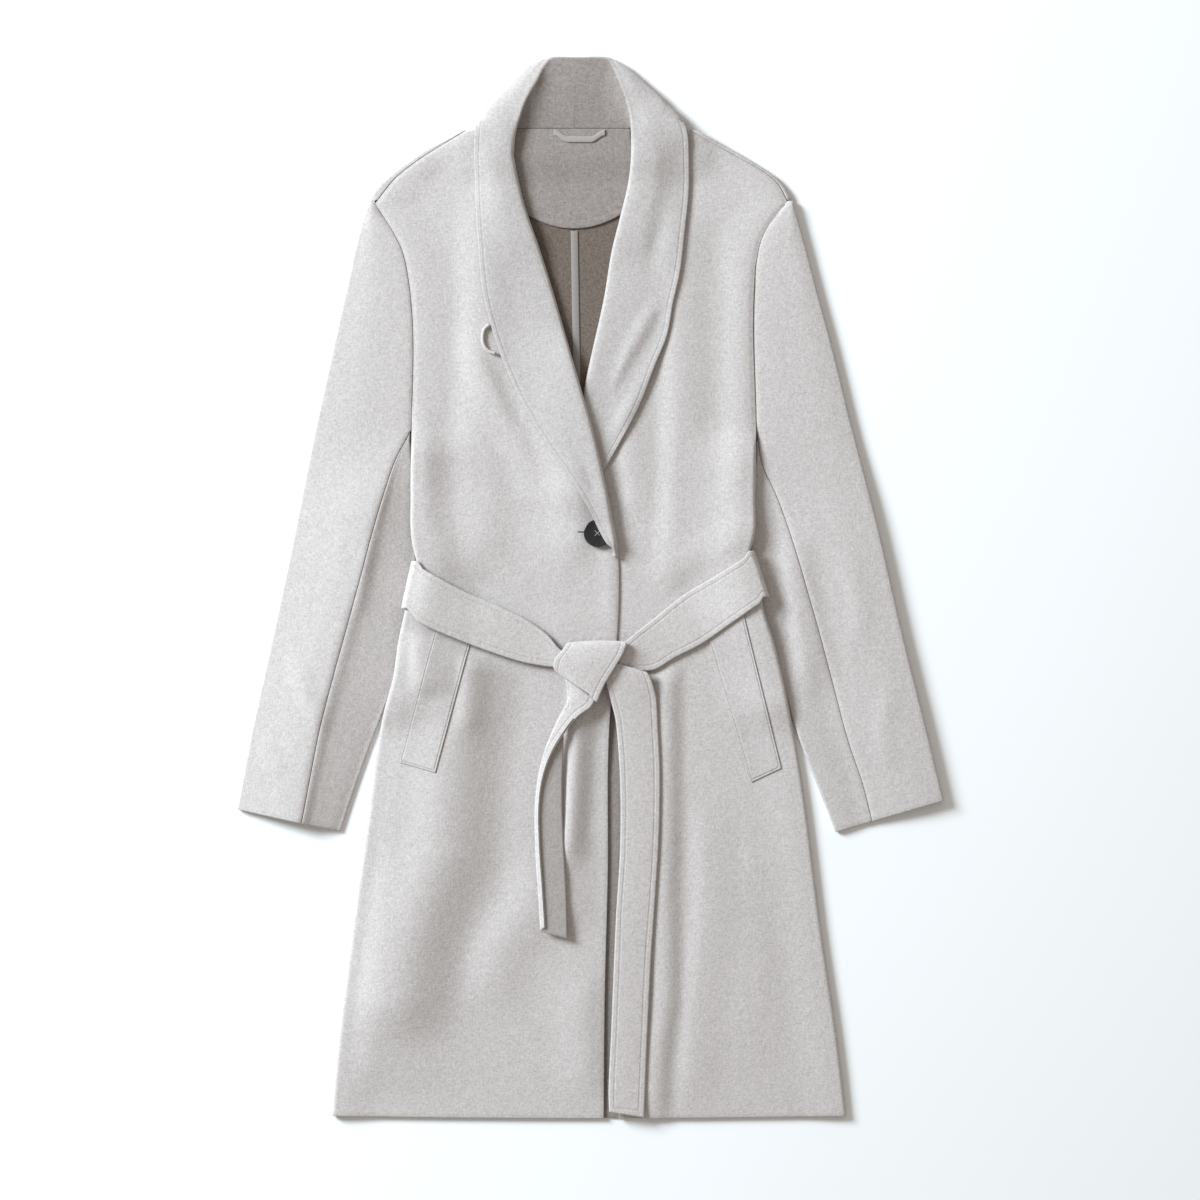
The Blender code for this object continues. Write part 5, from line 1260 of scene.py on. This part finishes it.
class Value:
    """A shader socket that can stand in sums, so that a pattern reads as arithmetic."""

    def __init__(self, board, socket):
        self.board = board
        self.socket = socket

    def math(self, operation, *others):
        return self.board.sum(operation, self, *others)

    def __add__(self, other):
        return self.math("ADD", other)

    def __sub__(self, other):
        return self.math("SUBTRACT", other)

    def __rsub__(self, other):
        return self.board.sum("SUBTRACT", other, self)

    def __mul__(self, other):
        return self.math("MULTIPLY", other)

    def __abs__(self):
        return self.math("ABSOLUTE")

    __radd__ = __add__
    __rmul__ = __mul__

    def ramp(self, low, high):
        """0 below low and 1 above high, with soft ends."""
        return self.board.node("MapRange", {"interpolation_type": "SMOOTHSTEP"},
                               {"Value": self, "From Min": low, "From Max": high})


def scaled(colour, share):
    """A colour made lighter or darker."""
    return tuple(share * part for part in colour)


def opaque(colour):
    """A colour as a socket takes it; one that comes from a node is passed on."""
    return colour if isinstance(colour, Value) else (*colour, 1.0)


class Board:
    """A material's node tree, with one method that adds any node."""

    def __init__(self, name):
        self.material = bpy.data.materials.new(name)
        self.material.use_nodes = True
        self.tree = self.material.node_tree
        self.shader = self.tree.nodes["Principled BSDF"]

    def node(self, kind, settings=None, values=None, out=0):
        item = self.tree.nodes.new("ShaderNode" + kind)
        for key, setting in (settings or {}).items():
            setattr(item, key, setting)
        for key, value in (values or {}).items():
            socket = item.inputs[key]
            if isinstance(value, Value):
                self.tree.links.new(value.socket, socket)
            else:
                socket.default_value = value
        return Value(self, item.outputs[out])

    def sum(self, operation, *terms):
        """One step of arithmetic on values and numbers."""
        return self.node("Math", {"operation": operation}, dict(enumerate(terms)))

    def place(self, stretch=(1.0, 1.0, 1.0), turn=0.0):
        """Object coordinates, stretched and turned."""
        where = self.node("TexCoord", out=3)
        return self.node("Mapping", {"vector_type": "POINT"},
                         {"Vector": where, "Scale": stretch, "Rotation": (0.0, 0.0, turn)})

    def noise(self, where, scale, detail=2.0, rough=0.5, warp=0.0):
        return self.node("TexNoise", {"noise_dimensions": "3D"},
                         {"Vector": where, "Scale": scale, "Detail": detail,
                          "Roughness": rough, "Distortion": warp})

    def attribute(self, name):
        return self.node("Attribute", {"attribute_name": name}, out=2)

    def mix(self, share, first, second):
        """A colour between two colours."""
        return self.node("Mix", {"data_type": "RGBA"},
                         {0: share, 6: opaque(first), 7: opaque(second)}, out=2)

    def shade(self, colour, amount):
        """A colour made lighter or darker by a factor."""
        grey = self.node("CombineColor", {}, {0: amount, 1: amount, 2: amount})
        return self.node("Mix", {"data_type": "RGBA", "blend_type": "MULTIPLY"},
                         {0: 1.0, 6: opaque(colour), 7: grey}, out=2)

    def bump(self, height, distance, strength=1.0):
        return self.node("Bump", {}, {"Height": height, "Distance": distance,
                                      "Strength": strength})

    def put(self, **sockets):
        """Set or link the shader's own sockets."""
        for key, value in sockets.items():
            socket = self.shader.inputs[key.replace("_", " ")]
            if isinstance(value, Value):
                self.tree.links.new(value.socket, socket)
            else:
                socket.default_value = value


STITCH_LENGTH = 0.0042


def felt(name, colour, inner, nap, stitch=0.25, coarse=1.3):
    """Felted wool: flecked, softly clouded, with a raised nap and, where it has one, a seam."""
    board = Board(name)
    where = board.place()
    fibre_one = board.noise(board.place((1.0, 0.4, 1.0), 0.7), 640.0, 3.0, 0.7)
    fibre_two = board.noise(board.place((0.4, 1.0, 1.0), -0.3), 600.0, 3.0, 0.7)
    fleck = board.noise(where, 760.0, 2.0, 0.6)
    patch = board.noise(where, 110.0, 4.0, 0.6)
    cloud = board.noise(where, 14.0, 3.0, 0.5)
    wool = (fibre_one + fibre_two) * 0.5
    dark = 1.0 - fleck.ramp(0.34, 0.52)
    reverse = board.attribute("reverse")
    tone = (1.0 + (wool - 0.5) * (reverse * reverse * coarse + 1.2) + (patch - 0.5) * 0.10
            + (cloud - 0.5) * 0.05 - dark * 0.02)
    base = board.mix(reverse, colour, inner)
    base = board.mix(dark * 0.11, base, scaled(inner, 0.8))
    off = abs(board.attribute("stitch"))
    run = board.attribute("run")
    groove = (1.0 - off.ramp(0.0002, 0.0014)) * (1.0 - reverse)
    dash = (run * (2.0 * math.pi / STITCH_LENGTH)).math("SINE").ramp(-0.5, 0.3)
    thread = (1.0 - off.ramp(0.0, 0.0006)) * dash * (1.0 - reverse * 0.6)
    # The groove dips in the bump and is also darkened in colour: painted shade in the stitch
    # groove; the thread's darker dashes are its own colour.
    tone = tone - groove * 0.06 * stitch - thread * 0.14 * stitch
    pile = wool * 0.62 + fleck * 0.16 + patch * 0.7 - groove * 0.9 * stitch + thread * 0.3 * stitch
    board.put(Base_Color=board.shade(base, tone), Roughness=0.90 + (wool - 0.5) * 0.12,
              Sheen_Weight=0.22, Sheen_Roughness=0.55, Specular_IOR_Level=0.22,
              Normal=board.bump(pile, 0.00055 * nap))
    return board.material


def ribbon(name, colour):
    """Narrow woven tape with a fine cross rib."""
    board = Board(name)
    where = board.place()
    rib = board.node("TexWave", {"wave_type": "BANDS", "bands_direction": "Y"},
                     {"Vector": where, "Scale": 260.0, "Distortion": 0.6, "Detail": 1.0}, out=1)
    speck = board.noise(where, 900.0, 2.0, 0.6)
    tone = 0.94 + rib * 0.05 + (speck - 0.5) * 0.12
    board.put(Base_Color=board.shade(colour, tone), Roughness=0.55 + (speck - 0.5) * 0.2,
              Sheen_Weight=0.1, Normal=board.bump(rib * 0.6 + speck * 0.4, 0.0002))
    return board.material


def horn(name, colour):
    """Polished near-black resin with a faint grain and fine handling marks."""
    board = Board(name)
    where = board.place()
    grain = board.noise(board.place((1.0, 0.3, 1.0), 0.4), 240.0, 4.0, 0.6)
    marks = board.noise(where, 1400.0, 2.0, 0.7)
    paler = tuple(part * 2.2 + 0.004 for part in colour)
    board.put(Base_Color=board.mix(grain.ramp(0.4, 0.75), colour, paler),
              Roughness=0.24 + (marks - 0.5) * 0.2, Coat_Weight=0.35, Coat_Roughness=0.12,
              Normal=board.bump(marks * 0.5 + grain, 0.00006))
    return board.material


def thread(name, colour):
    """Twisted sewing thread."""
    board = Board(name)
    twist = board.node("TexWave", {"wave_type": "BANDS", "bands_direction": "DIAGONAL"},
                       {"Vector": board.place(), "Scale": 900.0}, out=1)
    board.put(Base_Color=board.mix(twist, colour, scaled(colour, 1.6)),
              Roughness=0.6 + twist * 0.1, Normal=board.bump(twist, 0.00008))
    return board.material


def matt_floor(name, colour):
    """Plain pale surface."""
    board = Board(name)
    grain = board.noise(board.place(), 3.0, 2.0, 0.5)
    board.put(Base_Color=board.shade(colour, 0.995 + grain * 0.01),
              Roughness=0.85 + grain * 0.05, Specular_IOR_Level=0.1)
    return board.material


# --------------------------------------------------------------------------- settings

class CoatClothSettings(bpy.types.PropertyGroup):
    """Wool cloth of the coat."""
    colour: bpy.props.FloatVectorProperty(
        name="Wool", description="Colour of the felted wool's outer side", subtype="COLOR",
        size=3, min=0.0, max=1.0, default=(0.576, 0.529, 0.509))
    inner: bpy.props.FloatVectorProperty(
        name="Inner side", description="Colour of the cloth's inner side", subtype="COLOR",
        size=3, min=0.0, max=1.0, default=(0.160, 0.124, 0.101))
    thickness: bpy.props.FloatProperty(
        name="Cloth", description="Thickness of the coat's cloth", default=CLOTH * MM,
        min=0.001, max=0.003, unit="LENGTH")
    nap: bpy.props.FloatProperty(
        name="Nap", description="How far the felted surface stands up", default=1.0,
        min=0.0, max=3.0, subtype="FACTOR")


class CoatBeltSettings(bpy.types.PropertyGroup):
    """Belt with its knot and tails."""
    thickness: bpy.props.FloatProperty(
        name="Belt cloth", description="Thickness of the belt's two sewn layers",
        default=BELT_CLOTH * MM, min=0.001, max=0.004, unit="LENGTH")
    stitch_inset: bpy.props.FloatProperty(
        name="Stitch inset", description="How far the topstitching runs inside the belt's edges",
        default=0.0058, min=0.002, max=0.012, unit="LENGTH")


class CoatButtonSettings(bpy.types.PropertyGroup):
    """Front button."""
    radius: bpy.props.FloatProperty(
        name="Radius", description="Radius of the front button", default=BUTTON_RADIUS * MM,
        min=0.008, max=0.02, unit="LENGTH")
    colour: bpy.props.FloatVectorProperty(
        name="Button", description="Colour of the button", subtype="COLOR", size=3,
        min=0.0, max=1.0, default=(0.012, 0.012, 0.013))


class CoatStageSettings(bpy.types.PropertyGroup):
    """Surface, lights and camera."""
    floor: bpy.props.FloatVectorProperty(
        name="Floor", description="Colour of the surface that the coat lies on",
        subtype="COLOR", size=3, min=0.0, max=1.0, default=(0.97, 0.97, 0.97))
    key_power: bpy.props.FloatProperty(
        name="Key light", description="Power of the large soft light at the upper left",
        default=352.0, min=0.0, max=3000.0, unit="POWER")
    sky: bpy.props.FloatProperty(
        name="Even light", description="Strength of the even light from all round",
        default=0.41, min=0.0, max=5.0)


FINISHES = {}


def finish(kind):
    """A finish of the coat, made once and kept."""
    if kind not in FINISHES:
        wool = bpy.context.scene.coat_cloth
        colour, inner, nap = tuple(wool.colour), tuple(wool.inner), wool.nap
        mixed = tuple(0.60 * c + 0.40 * d for c, d in zip(colour, inner))
        maker, *details = {
            "shell": (felt, "felted_wool", colour, inner, nap),
            # The collar is the coat's own wool made darker: painted shade.
            "collar": (felt, "felted_wool_collar", scaled(colour, 0.93), inner, nap, 0.45),
            # The welts are the coat's own wool made a little darker: painted shade.
            "welt": (felt, "felted_wool_welt", scaled(colour, 0.97), inner, nap, 0.7),
            # The belt is the coat's own wool made lighter: painted light.
            "belt": (felt, "felted_wool_belt", scaled(colour, 1.05), mixed, nap, 0.5, 0.0),
            "facing": (felt, "felted_wool_facing", colour, inner, nap, 0.8),
            "tape": (ribbon, "woven_tape", (0.31, 0.275, 0.255)),
            "hanger": (ribbon, "woven_hanger", (0.40, 0.362, 0.338)),
            "button": (horn, "dark_resin", tuple(bpy.context.scene.coat_button.colour)),
            "thread": (thread, "button_thread", (0.30, 0.29, 0.28)),
            "binding": (thread, "buttonhole_thread", (0.17, 0.13, 0.11)),
        }[kind]
        FINISHES[kind] = maker(*details)
    return FINISHES[kind]


# --------------------------------------------------------------------------- operators

LABELS = ((RIGHT, "right"), (LEFT, "left"))
ALL_ROUND = ("start", "end", "first", "last")
# Painted light: how much lighter the back's inside is below the waist, where more light reaches
# it.
INSIDE_PAINTED_LIGHT = 0.34
INSIDE_PAINTED_LIGHT_Y = (60.0, -60.0)


class COAT_OT_backs(bpy.types.Operator):
    """Lay the two back halves on the surface"""
    bl_idname = "coat.add_backs"
    bl_label = "Back"

    def execute(self, context):
        thickness = context.scene.coat_cloth.thickness / MM
        for side, label in LABELS:
            grid = back_grid(side)
            # The back's inside is made lighter below the waist: painted light.
            inside = 1.0 - INSIDE_PAINTED_LIGHT * smooth(grid[:, :, 1], *INSIDE_PAINTED_LIGHT_Y)
            item = cloth(f"wool_back_{label}", grid, thickness, finish("shell"),
                         f"back_{label}", reverse=(inside, 0.0), softness=0.7)
            lay(item, grid, "laid", ["floor"])
        return {"FINISHED"}


class COAT_OT_fronts(bpy.types.Operator):
    """Lay the two fronts over the back, lapped at the centre"""
    bl_idname = "coat.add_fronts"
    bl_label = "Fronts"

    def execute(self, context):
        thickness = context.scene.coat_cloth.thickness / MM
        for side, label in LABELS:
            grid = front_grid(side)
            item = cloth(f"wool_front_{label}", grid, thickness, finish("shell"),
                         f"front_{label}", sewn=("first",))
            lay(item, grid, "laid", [f"wool_back_{label}"])
        return {"FINISHED"}


class COAT_OT_sleeves(bpy.types.Operator):
    """Lay the upper and under piece of both sleeves"""
    bl_idname = "coat.add_sleeves"
    bl_label = "Sleeves"

    def execute(self, context):
        thickness = context.scene.coat_cloth.thickness / MM
        for side, label in LABELS:
            for part, grid in zip(("upper", "under"), sleeve_grids(side)):
                node = f"sleeve_{part}_{label}"
                item = cloth(f"wool_{node}", grid, thickness, finish("shell"), node,
                             level=(0.6, 0.1))
                lay(item, grid, "folded", ["floor"])
        return {"FINISHED"}


class COAT_OT_collar(bpy.types.Operator):
    """Roll the two halves of the shawl collar from the lapels round the neck"""
    bl_idname = "coat.add_collar"
    bl_label = "Shawl collar"

    def execute(self, context):
        for side, label in LABELS:
            grid = collar_grid(side)
            # The collar's stand inside the neck is darkened in colour: painted shade.
            item = cloth(f"wool_collar_{label}", grid, COLLAR_CLOTH, finish("collar"),
                         f"collar_{label}", reverse=collar_painted_shade(grid), stitched=("last",),
                         inset=5.2, level=(0.3, 0.85), flush=("end",))
            lay(item, grid, "folded", [f"wool_front_{label}"])
        return {"FINISHED"}


class COAT_OT_neck_inside(bpy.types.Operator):
    """Sew the facing, the seam tape and the hanger loop inside the neck"""
    bl_idname = "coat.add_neck_inside"
    bl_label = "Neck facing, tape and hanger"

    def execute(self, context):
        tape = cloth("tape_centre_back", tape_grid(), TAPE, finish("tape"), "seam_tape",
                     softness=0.8)
        hanger = cloth("tape_hanger", hanger_grid(), HANGER_THICK, finish("hanger"),
                       "hanger_loop", softness=0.8)
        # The facing's upper face takes the inner side's colour as painted shade inside the neck.
        grid = facing_grid()
        item = cloth("wool_neck_facing", grid, context.scene.coat_cloth.thickness / MM,
                     finish("facing"), "neck_facing", reverse=(NECK_PAINTED_SHADE, 1.0),
                     stitched=("end",), inset=8.5, flush=("start",))
        lay(item, grid, "laid", ["wool_back_right", "wool_back_left"],
            with_pieces=[tape, hanger])
        return {"FINISHED"}


class COAT_OT_lapel_loop(bpy.types.Operator):
    """Sew the small loop at the edge of the right lapel"""
    bl_idname = "coat.add_lapel_loop"
    bl_label = "Lapel loop"

    def execute(self, context):
        points, faces = tube_mesh(lapel_loop_points(), LOOP_RADIUS, 16)
        item = piece_of("wool_lapel_loop", points, faces, finish("shell"),
                        {"reverse": np.zeros(len(points)), "stitch": np.ones(len(points)),
                         "run": np.zeros(len(points))})
        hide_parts("lapel_loop")
        return {"FINISHED"}


class COAT_OT_welts(bpy.types.Operator):
    """Set the two slanted welts on the fronts"""
    bl_idname = "coat.add_welts"
    bl_label = "Welts"

    def execute(self, context):
        for side, label in LABELS:
            grid = welt_grid(side)
            item = cloth(f"wool_welt_{label}", grid, WELT_CLOTH, finish("welt"),
                         f"welt_{label}", stitched=ALL_ROUND, inset=1.5)
            lay(item, grid, "laid", [f"wool_front_{label}"])
        return {"FINISHED"}


def lay_belt(node, grid, stitched, held, rests_on, **more):
    """Make one stretch of the belt."""
    belt = bpy.context.scene.coat_belt
    item = cloth(f"wool_{node}", grid, belt.thickness / MM, finish("belt"), node,
                 stitched=stitched, inset=belt.stitch_inset / MM, **more)
    lay(item, grid, held, rests_on)


class COAT_OT_belt(bpy.types.Operator):
    """Pass the belt behind the waist and bring it round to the knot"""
    bl_idname = "coat.add_belt"
    bl_label = "Belt"

    def execute(self, context):
        lay_belt("belt_back", belt_back_grid(), ("first", "last"), "laid", ["floor"])
        for side, label in LABELS:
            lay_belt(f"belt_run_{label}", belt_run_grid(side), ("first", "last"), "laid",
                     [f"wool_front_{label}"], level=(0.7, 0.5))
        return {"FINISHED"}


class COAT_OT_knot(bpy.types.Operator):
    """Tie the knot and let its two tails lie over the fronts"""
    bl_idname = "coat.add_knot"
    bl_label = "Knot and tails"

    def execute(self, context):
        pieces = (
            ("belt_knot", strip_grid(KNOT_ROWS, 12, 25, 1.5), ("first", "last"), (0.0, 1.0)),
            ("belt_tail_right", curled_grid(TAIL_RIGHT_ROWS, 10, 24), ("first", "last", "end"),
             (1.0, 0.0)),
            ("belt_tail_left", strip_grid(TAIL_LEFT_ROWS, 10, 21, 0.6), ("first", "last", "end"),
             (0.0, 1.0)),
        )
        for node, grid, stitched, reverse in pieces:
            lay_belt(node, grid, stitched, "folded", ["wool_front_right", "wool_front_left"],
                     reverse=reverse)
        return {"FINISHED"}


def select_only(item):
    """Make one object the only one selected, and the active one."""
    bpy.ops.object.select_all(action="DESELECT")
    item.select_set(True)
    bpy.context.view_layer.objects.active = item


def pick_faces(item, test):
    """Select, in edit mode, the faces whose normal passes a test."""
    bpy.ops.object.mode_set(mode="OBJECT")
    for polygon in item.data.polygons:
        polygon.select = bool(test(polygon.normal))
    for edge in item.data.edges:
        edge.select = False
    for vertex in item.data.vertices:
        vertex.select = False
    for polygon in item.data.polygons:
        if polygon.select:
            for number in polygon.vertices:
                item.data.vertices[number].select = True
    bpy.ops.object.mode_set(mode="EDIT")
    bpy.ops.mesh.select_mode(type="FACE")


# Button: the steps of its upper face inward (width, rise), the rim below, the holes and the
# sewing thread.
BUTTON_STEPS = ((1.0, 0.0), (1.2, 0.0), (1.0, -0.75), (4.0, -0.15))
BUTTON_FOOT_STEP = 1.4
BUTTON_SOFTEN = 0.55
BUTTON_SEGMENTS = 3
BUTTON_SMOOTH = math.radians(40.0)
HOLE_AT = 2.6
HOLE_RADIUS = 1.05
THREAD_RADIUS = 0.3
BINDING_RADIUS = 0.7


def turn_button(radius):
    """Model the button's disc: stepped rim, rounded edges and four holes."""
    thick = BUTTON_THICK * MM
    bpy.ops.object.select_all(action="DESELECT")
    bpy.ops.mesh.primitive_cylinder_add(vertices=72, radius=radius, depth=thick,
                                        location=(0.0, 0.0, thick / 2))
    button = bpy.context.object
    button.name = "button_disc"
    bpy.ops.object.transform_apply(location=True, rotation=True, scale=True)
    pick_faces(button, lambda normal: normal.z > 0.9)
    for width, rise in BUTTON_STEPS:
        bpy.ops.mesh.inset(thickness=width * MM, depth=rise * MM)
    pick_faces(button, lambda normal: normal.z < -0.9)
    bpy.ops.mesh.inset(thickness=BUTTON_FOOT_STEP * MM, depth=0.0)
    bpy.ops.object.mode_set(mode="OBJECT")
    select_only(button)
    soften = button.modifiers.new("edge", "BEVEL")
    soften.width = BUTTON_SOFTEN * MM
    soften.segments = BUTTON_SEGMENTS
    soften.limit_method = "ANGLE"
    soften.angle_limit = BUTTON_SMOOTH
    bpy.ops.object.modifier_apply(modifier=soften.name)
    for dx, dy in ((-1, -1), (1, -1), (1, 1), (-1, 1)):
        bpy.ops.object.select_all(action="DESELECT")
        bpy.ops.mesh.primitive_cylinder_add(
            vertices=20, radius=HOLE_RADIUS * MM, depth=12.0 * MM,
            location=(dx * HOLE_AT * MM, dy * HOLE_AT * MM, thick / 2))
        cutter = bpy.context.object
        select_only(button)
        cut = button.modifiers.new("hole", "BOOLEAN")
        cut.operation = "DIFFERENCE"
        cut.object = cutter
        bpy.ops.object.modifier_apply(modifier=cut.name)
        bpy.data.objects.remove(cutter, do_unlink=True)
    select_only(button)
    bpy.ops.object.shade_smooth_by_angle(angle=BUTTON_SMOOTH)
    return button


def strand_route(number):
    """Route of one of the two crossed threads, through two holes and over the button."""
    ax, ay = -HOLE_AT, (-HOLE_AT, HOLE_AT)[number]
    lift = BUTTON_THICK + BUTTON_STEPS[2][1] + 0.25 * number
    half = [(ax, ay, -0.3), (ax, ay, lift - 0.6), (ax * 0.75, ay * 0.75, lift)]
    return half + [(0.0, 0.0, lift + 0.12)] + [(-x, -y, z) for x, y, z in half[::-1]]


class COAT_OT_button(bpy.types.Operator):
    """Sew the button on under the end of the lapel"""
    bl_idname = "coat.add_button"
    bl_label = "Button"

    def execute(self, context):
        x0, y0, base, slope = button_place()
        button = turn_button(context.scene.coat_button.radius)
        settle_button(button, x0, y0, base, slope)
        button.data.materials.clear()
        button.data.materials.append(finish("button"))
        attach(button, "root")
        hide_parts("button")
        for number in (0, 1):
            route = [(x0 + x, y0 + y, base + z + slope * y) for x, y, z in strand_route(number)]
            points, faces = tube_mesh(route, THREAD_RADIUS, 10)
            strand = piece_of(f"button_thread_{number}", points, faces, finish("thread"))
        route = [(x, BUTTONHOLE_Y, float(front_mid(RIGHT, x, BUTTONHOLE_Y)) + CLOTH / 2 + 0.1)
                 for x in np.linspace(*BUTTONHOLE_X, 5)]
        points, faces = tube_mesh(route, BINDING_RADIUS, 10)
        bound = piece_of("buttonhole_end", points, faces, finish("binding"))
        return {"FINISHED"}


def settle_button(button, x0, y0, base, slope):
    """Move the finished button's mesh to its place on the front, tilted as the cloth is."""
    mesh = button.data
    places = np.zeros(len(mesh.vertices) * 3)
    mesh.vertices.foreach_get("co", places)
    places = places.reshape(-1, 3)
    places[:, 2] += base * MM + slope * places[:, 1]
    places[:, 0] += x0 * MM
    places[:, 1] += y0 * MM
    mesh.vertices.foreach_set("co", places.ravel())
    mesh.update()


# Stage, in metres: floor, light from the upper left, and camera straight above.
FLOOR_SIZE = 8.0
FLOOR_Z = -0.0004
SKY_COLOUR = (1.0, 0.955, 0.895, 1.0)
KEY_AT = (-3.4, 1.96, 2.2)
KEY_SIZE = 1.6
KEY_COLOUR = (0.815, 0.92, 1.0)
CAMERA_AT = (0.0095, -0.0125, 4.0)
CAMERA_SENSOR = 36.0
CAMERA_LENS = 120.0


class COAT_OT_stage(bpy.types.Operator):
    """Set the pale surface, the soft lights and the camera above"""
    bl_idname = "coat.add_stage"
    bl_label = "Stage"

    def execute(self, context):
        settings = context.scene.coat_stage
        bpy.ops.object.select_all(action="DESELECT")
        bpy.ops.mesh.primitive_plane_add(size=FLOOR_SIZE, location=(0.0, 0.0, FLOOR_Z))
        floor = bpy.context.object
        floor.name = "floor"
        bpy.ops.object.transform_apply(location=True, rotation=True, scale=True)
        floor.data.materials.append(matt_floor("pale_surface", tuple(settings.floor)))
        world = bpy.data.worlds.new("even_light")
        world.use_nodes = True
        backdrop = world.node_tree.nodes["Background"]
        backdrop.inputs["Color"].default_value = SKY_COLOUR
        backdrop.inputs["Strength"].default_value = settings.sky
        context.scene.world = world
        context.scene.view_settings.view_transform = "Standard"
        add_light("key", KEY_AT, KEY_SIZE, settings.key_power, KEY_COLOUR)
        camera_data = bpy.data.cameras.new("camera")
        camera_data.sensor_width = CAMERA_SENSOR
        camera_data.lens = CAMERA_LENS
        camera = bpy.data.objects.new("camera", camera_data)
        camera.location = CAMERA_AT
        context.scene.collection.objects.link(camera)
        context.scene.camera = camera
        return {"FINISHED"}


def add_light(name, place, size, power, colour):
    """A large soft square light aimed at the middle of the coat."""
    lamp = bpy.data.lights.new(name, "AREA")
    lamp.shape = "SQUARE"
    lamp.size = size
    lamp.energy = power
    lamp.color = colour
    item = bpy.data.objects.new(name, lamp)
    item.location = place
    toward = -np.array(place)
    toward /= np.linalg.norm(toward)
    pitch = math.acos(-toward[2])
    turn = math.atan2(toward[1], toward[0]) - math.pi / 2
    item.rotation_euler = (pitch, 0.0, turn)
    bpy.context.scene.collection.objects.link(item)


OPERATORS = (COAT_OT_backs, COAT_OT_fronts, COAT_OT_sleeves, COAT_OT_collar,
             COAT_OT_neck_inside, COAT_OT_lapel_loop, COAT_OT_welts, COAT_OT_belt,
             COAT_OT_knot, COAT_OT_button, COAT_OT_stage)
SETTINGS = (("coat_cloth", CoatClothSettings), ("coat_belt", CoatBeltSettings),
            ("coat_button", CoatButtonSettings), ("coat_stage", CoatStageSettings))


class COAT_PT_panel(bpy.types.Panel):
    """Makes the coat piece by piece"""
    bl_idname = "COAT_PT_panel"
    bl_label = "Wrap coat"
    bl_space_type = "VIEW_3D"
    bl_region_type = "UI"
    bl_category = "Coat"

    def draw(self, context):
        for name, group in SETTINGS:
            box = self.layout.box()
            box.label(text=group.__doc__)
            for key in group.__annotations__:
                box.prop(getattr(context.scene, name), key)
        for operator in OPERATORS:
            self.layout.operator(operator.bl_idname)


def register():
    for _, group in SETTINGS:
        bpy.utils.register_class(group)
    for name, group in SETTINGS:
        setattr(bpy.types.Scene, name, bpy.props.PointerProperty(type=group))
    for operator in OPERATORS:
        bpy.utils.register_class(operator)
    bpy.utils.register_class(COAT_PT_panel)


def unregister():
    bpy.utils.unregister_class(COAT_PT_panel)
    for operator in reversed(OPERATORS):
        bpy.utils.unregister_class(operator)
    for name, group in reversed(SETTINGS):
        delattr(bpy.types.Scene, name)
        bpy.utils.unregister_class(group)


def main():
    register()
    for operator in OPERATORS:
        group, name = operator.bl_idname.split(".")
        getattr(getattr(bpy.ops, group), name)()


if __name__ == "__main__":
    main()
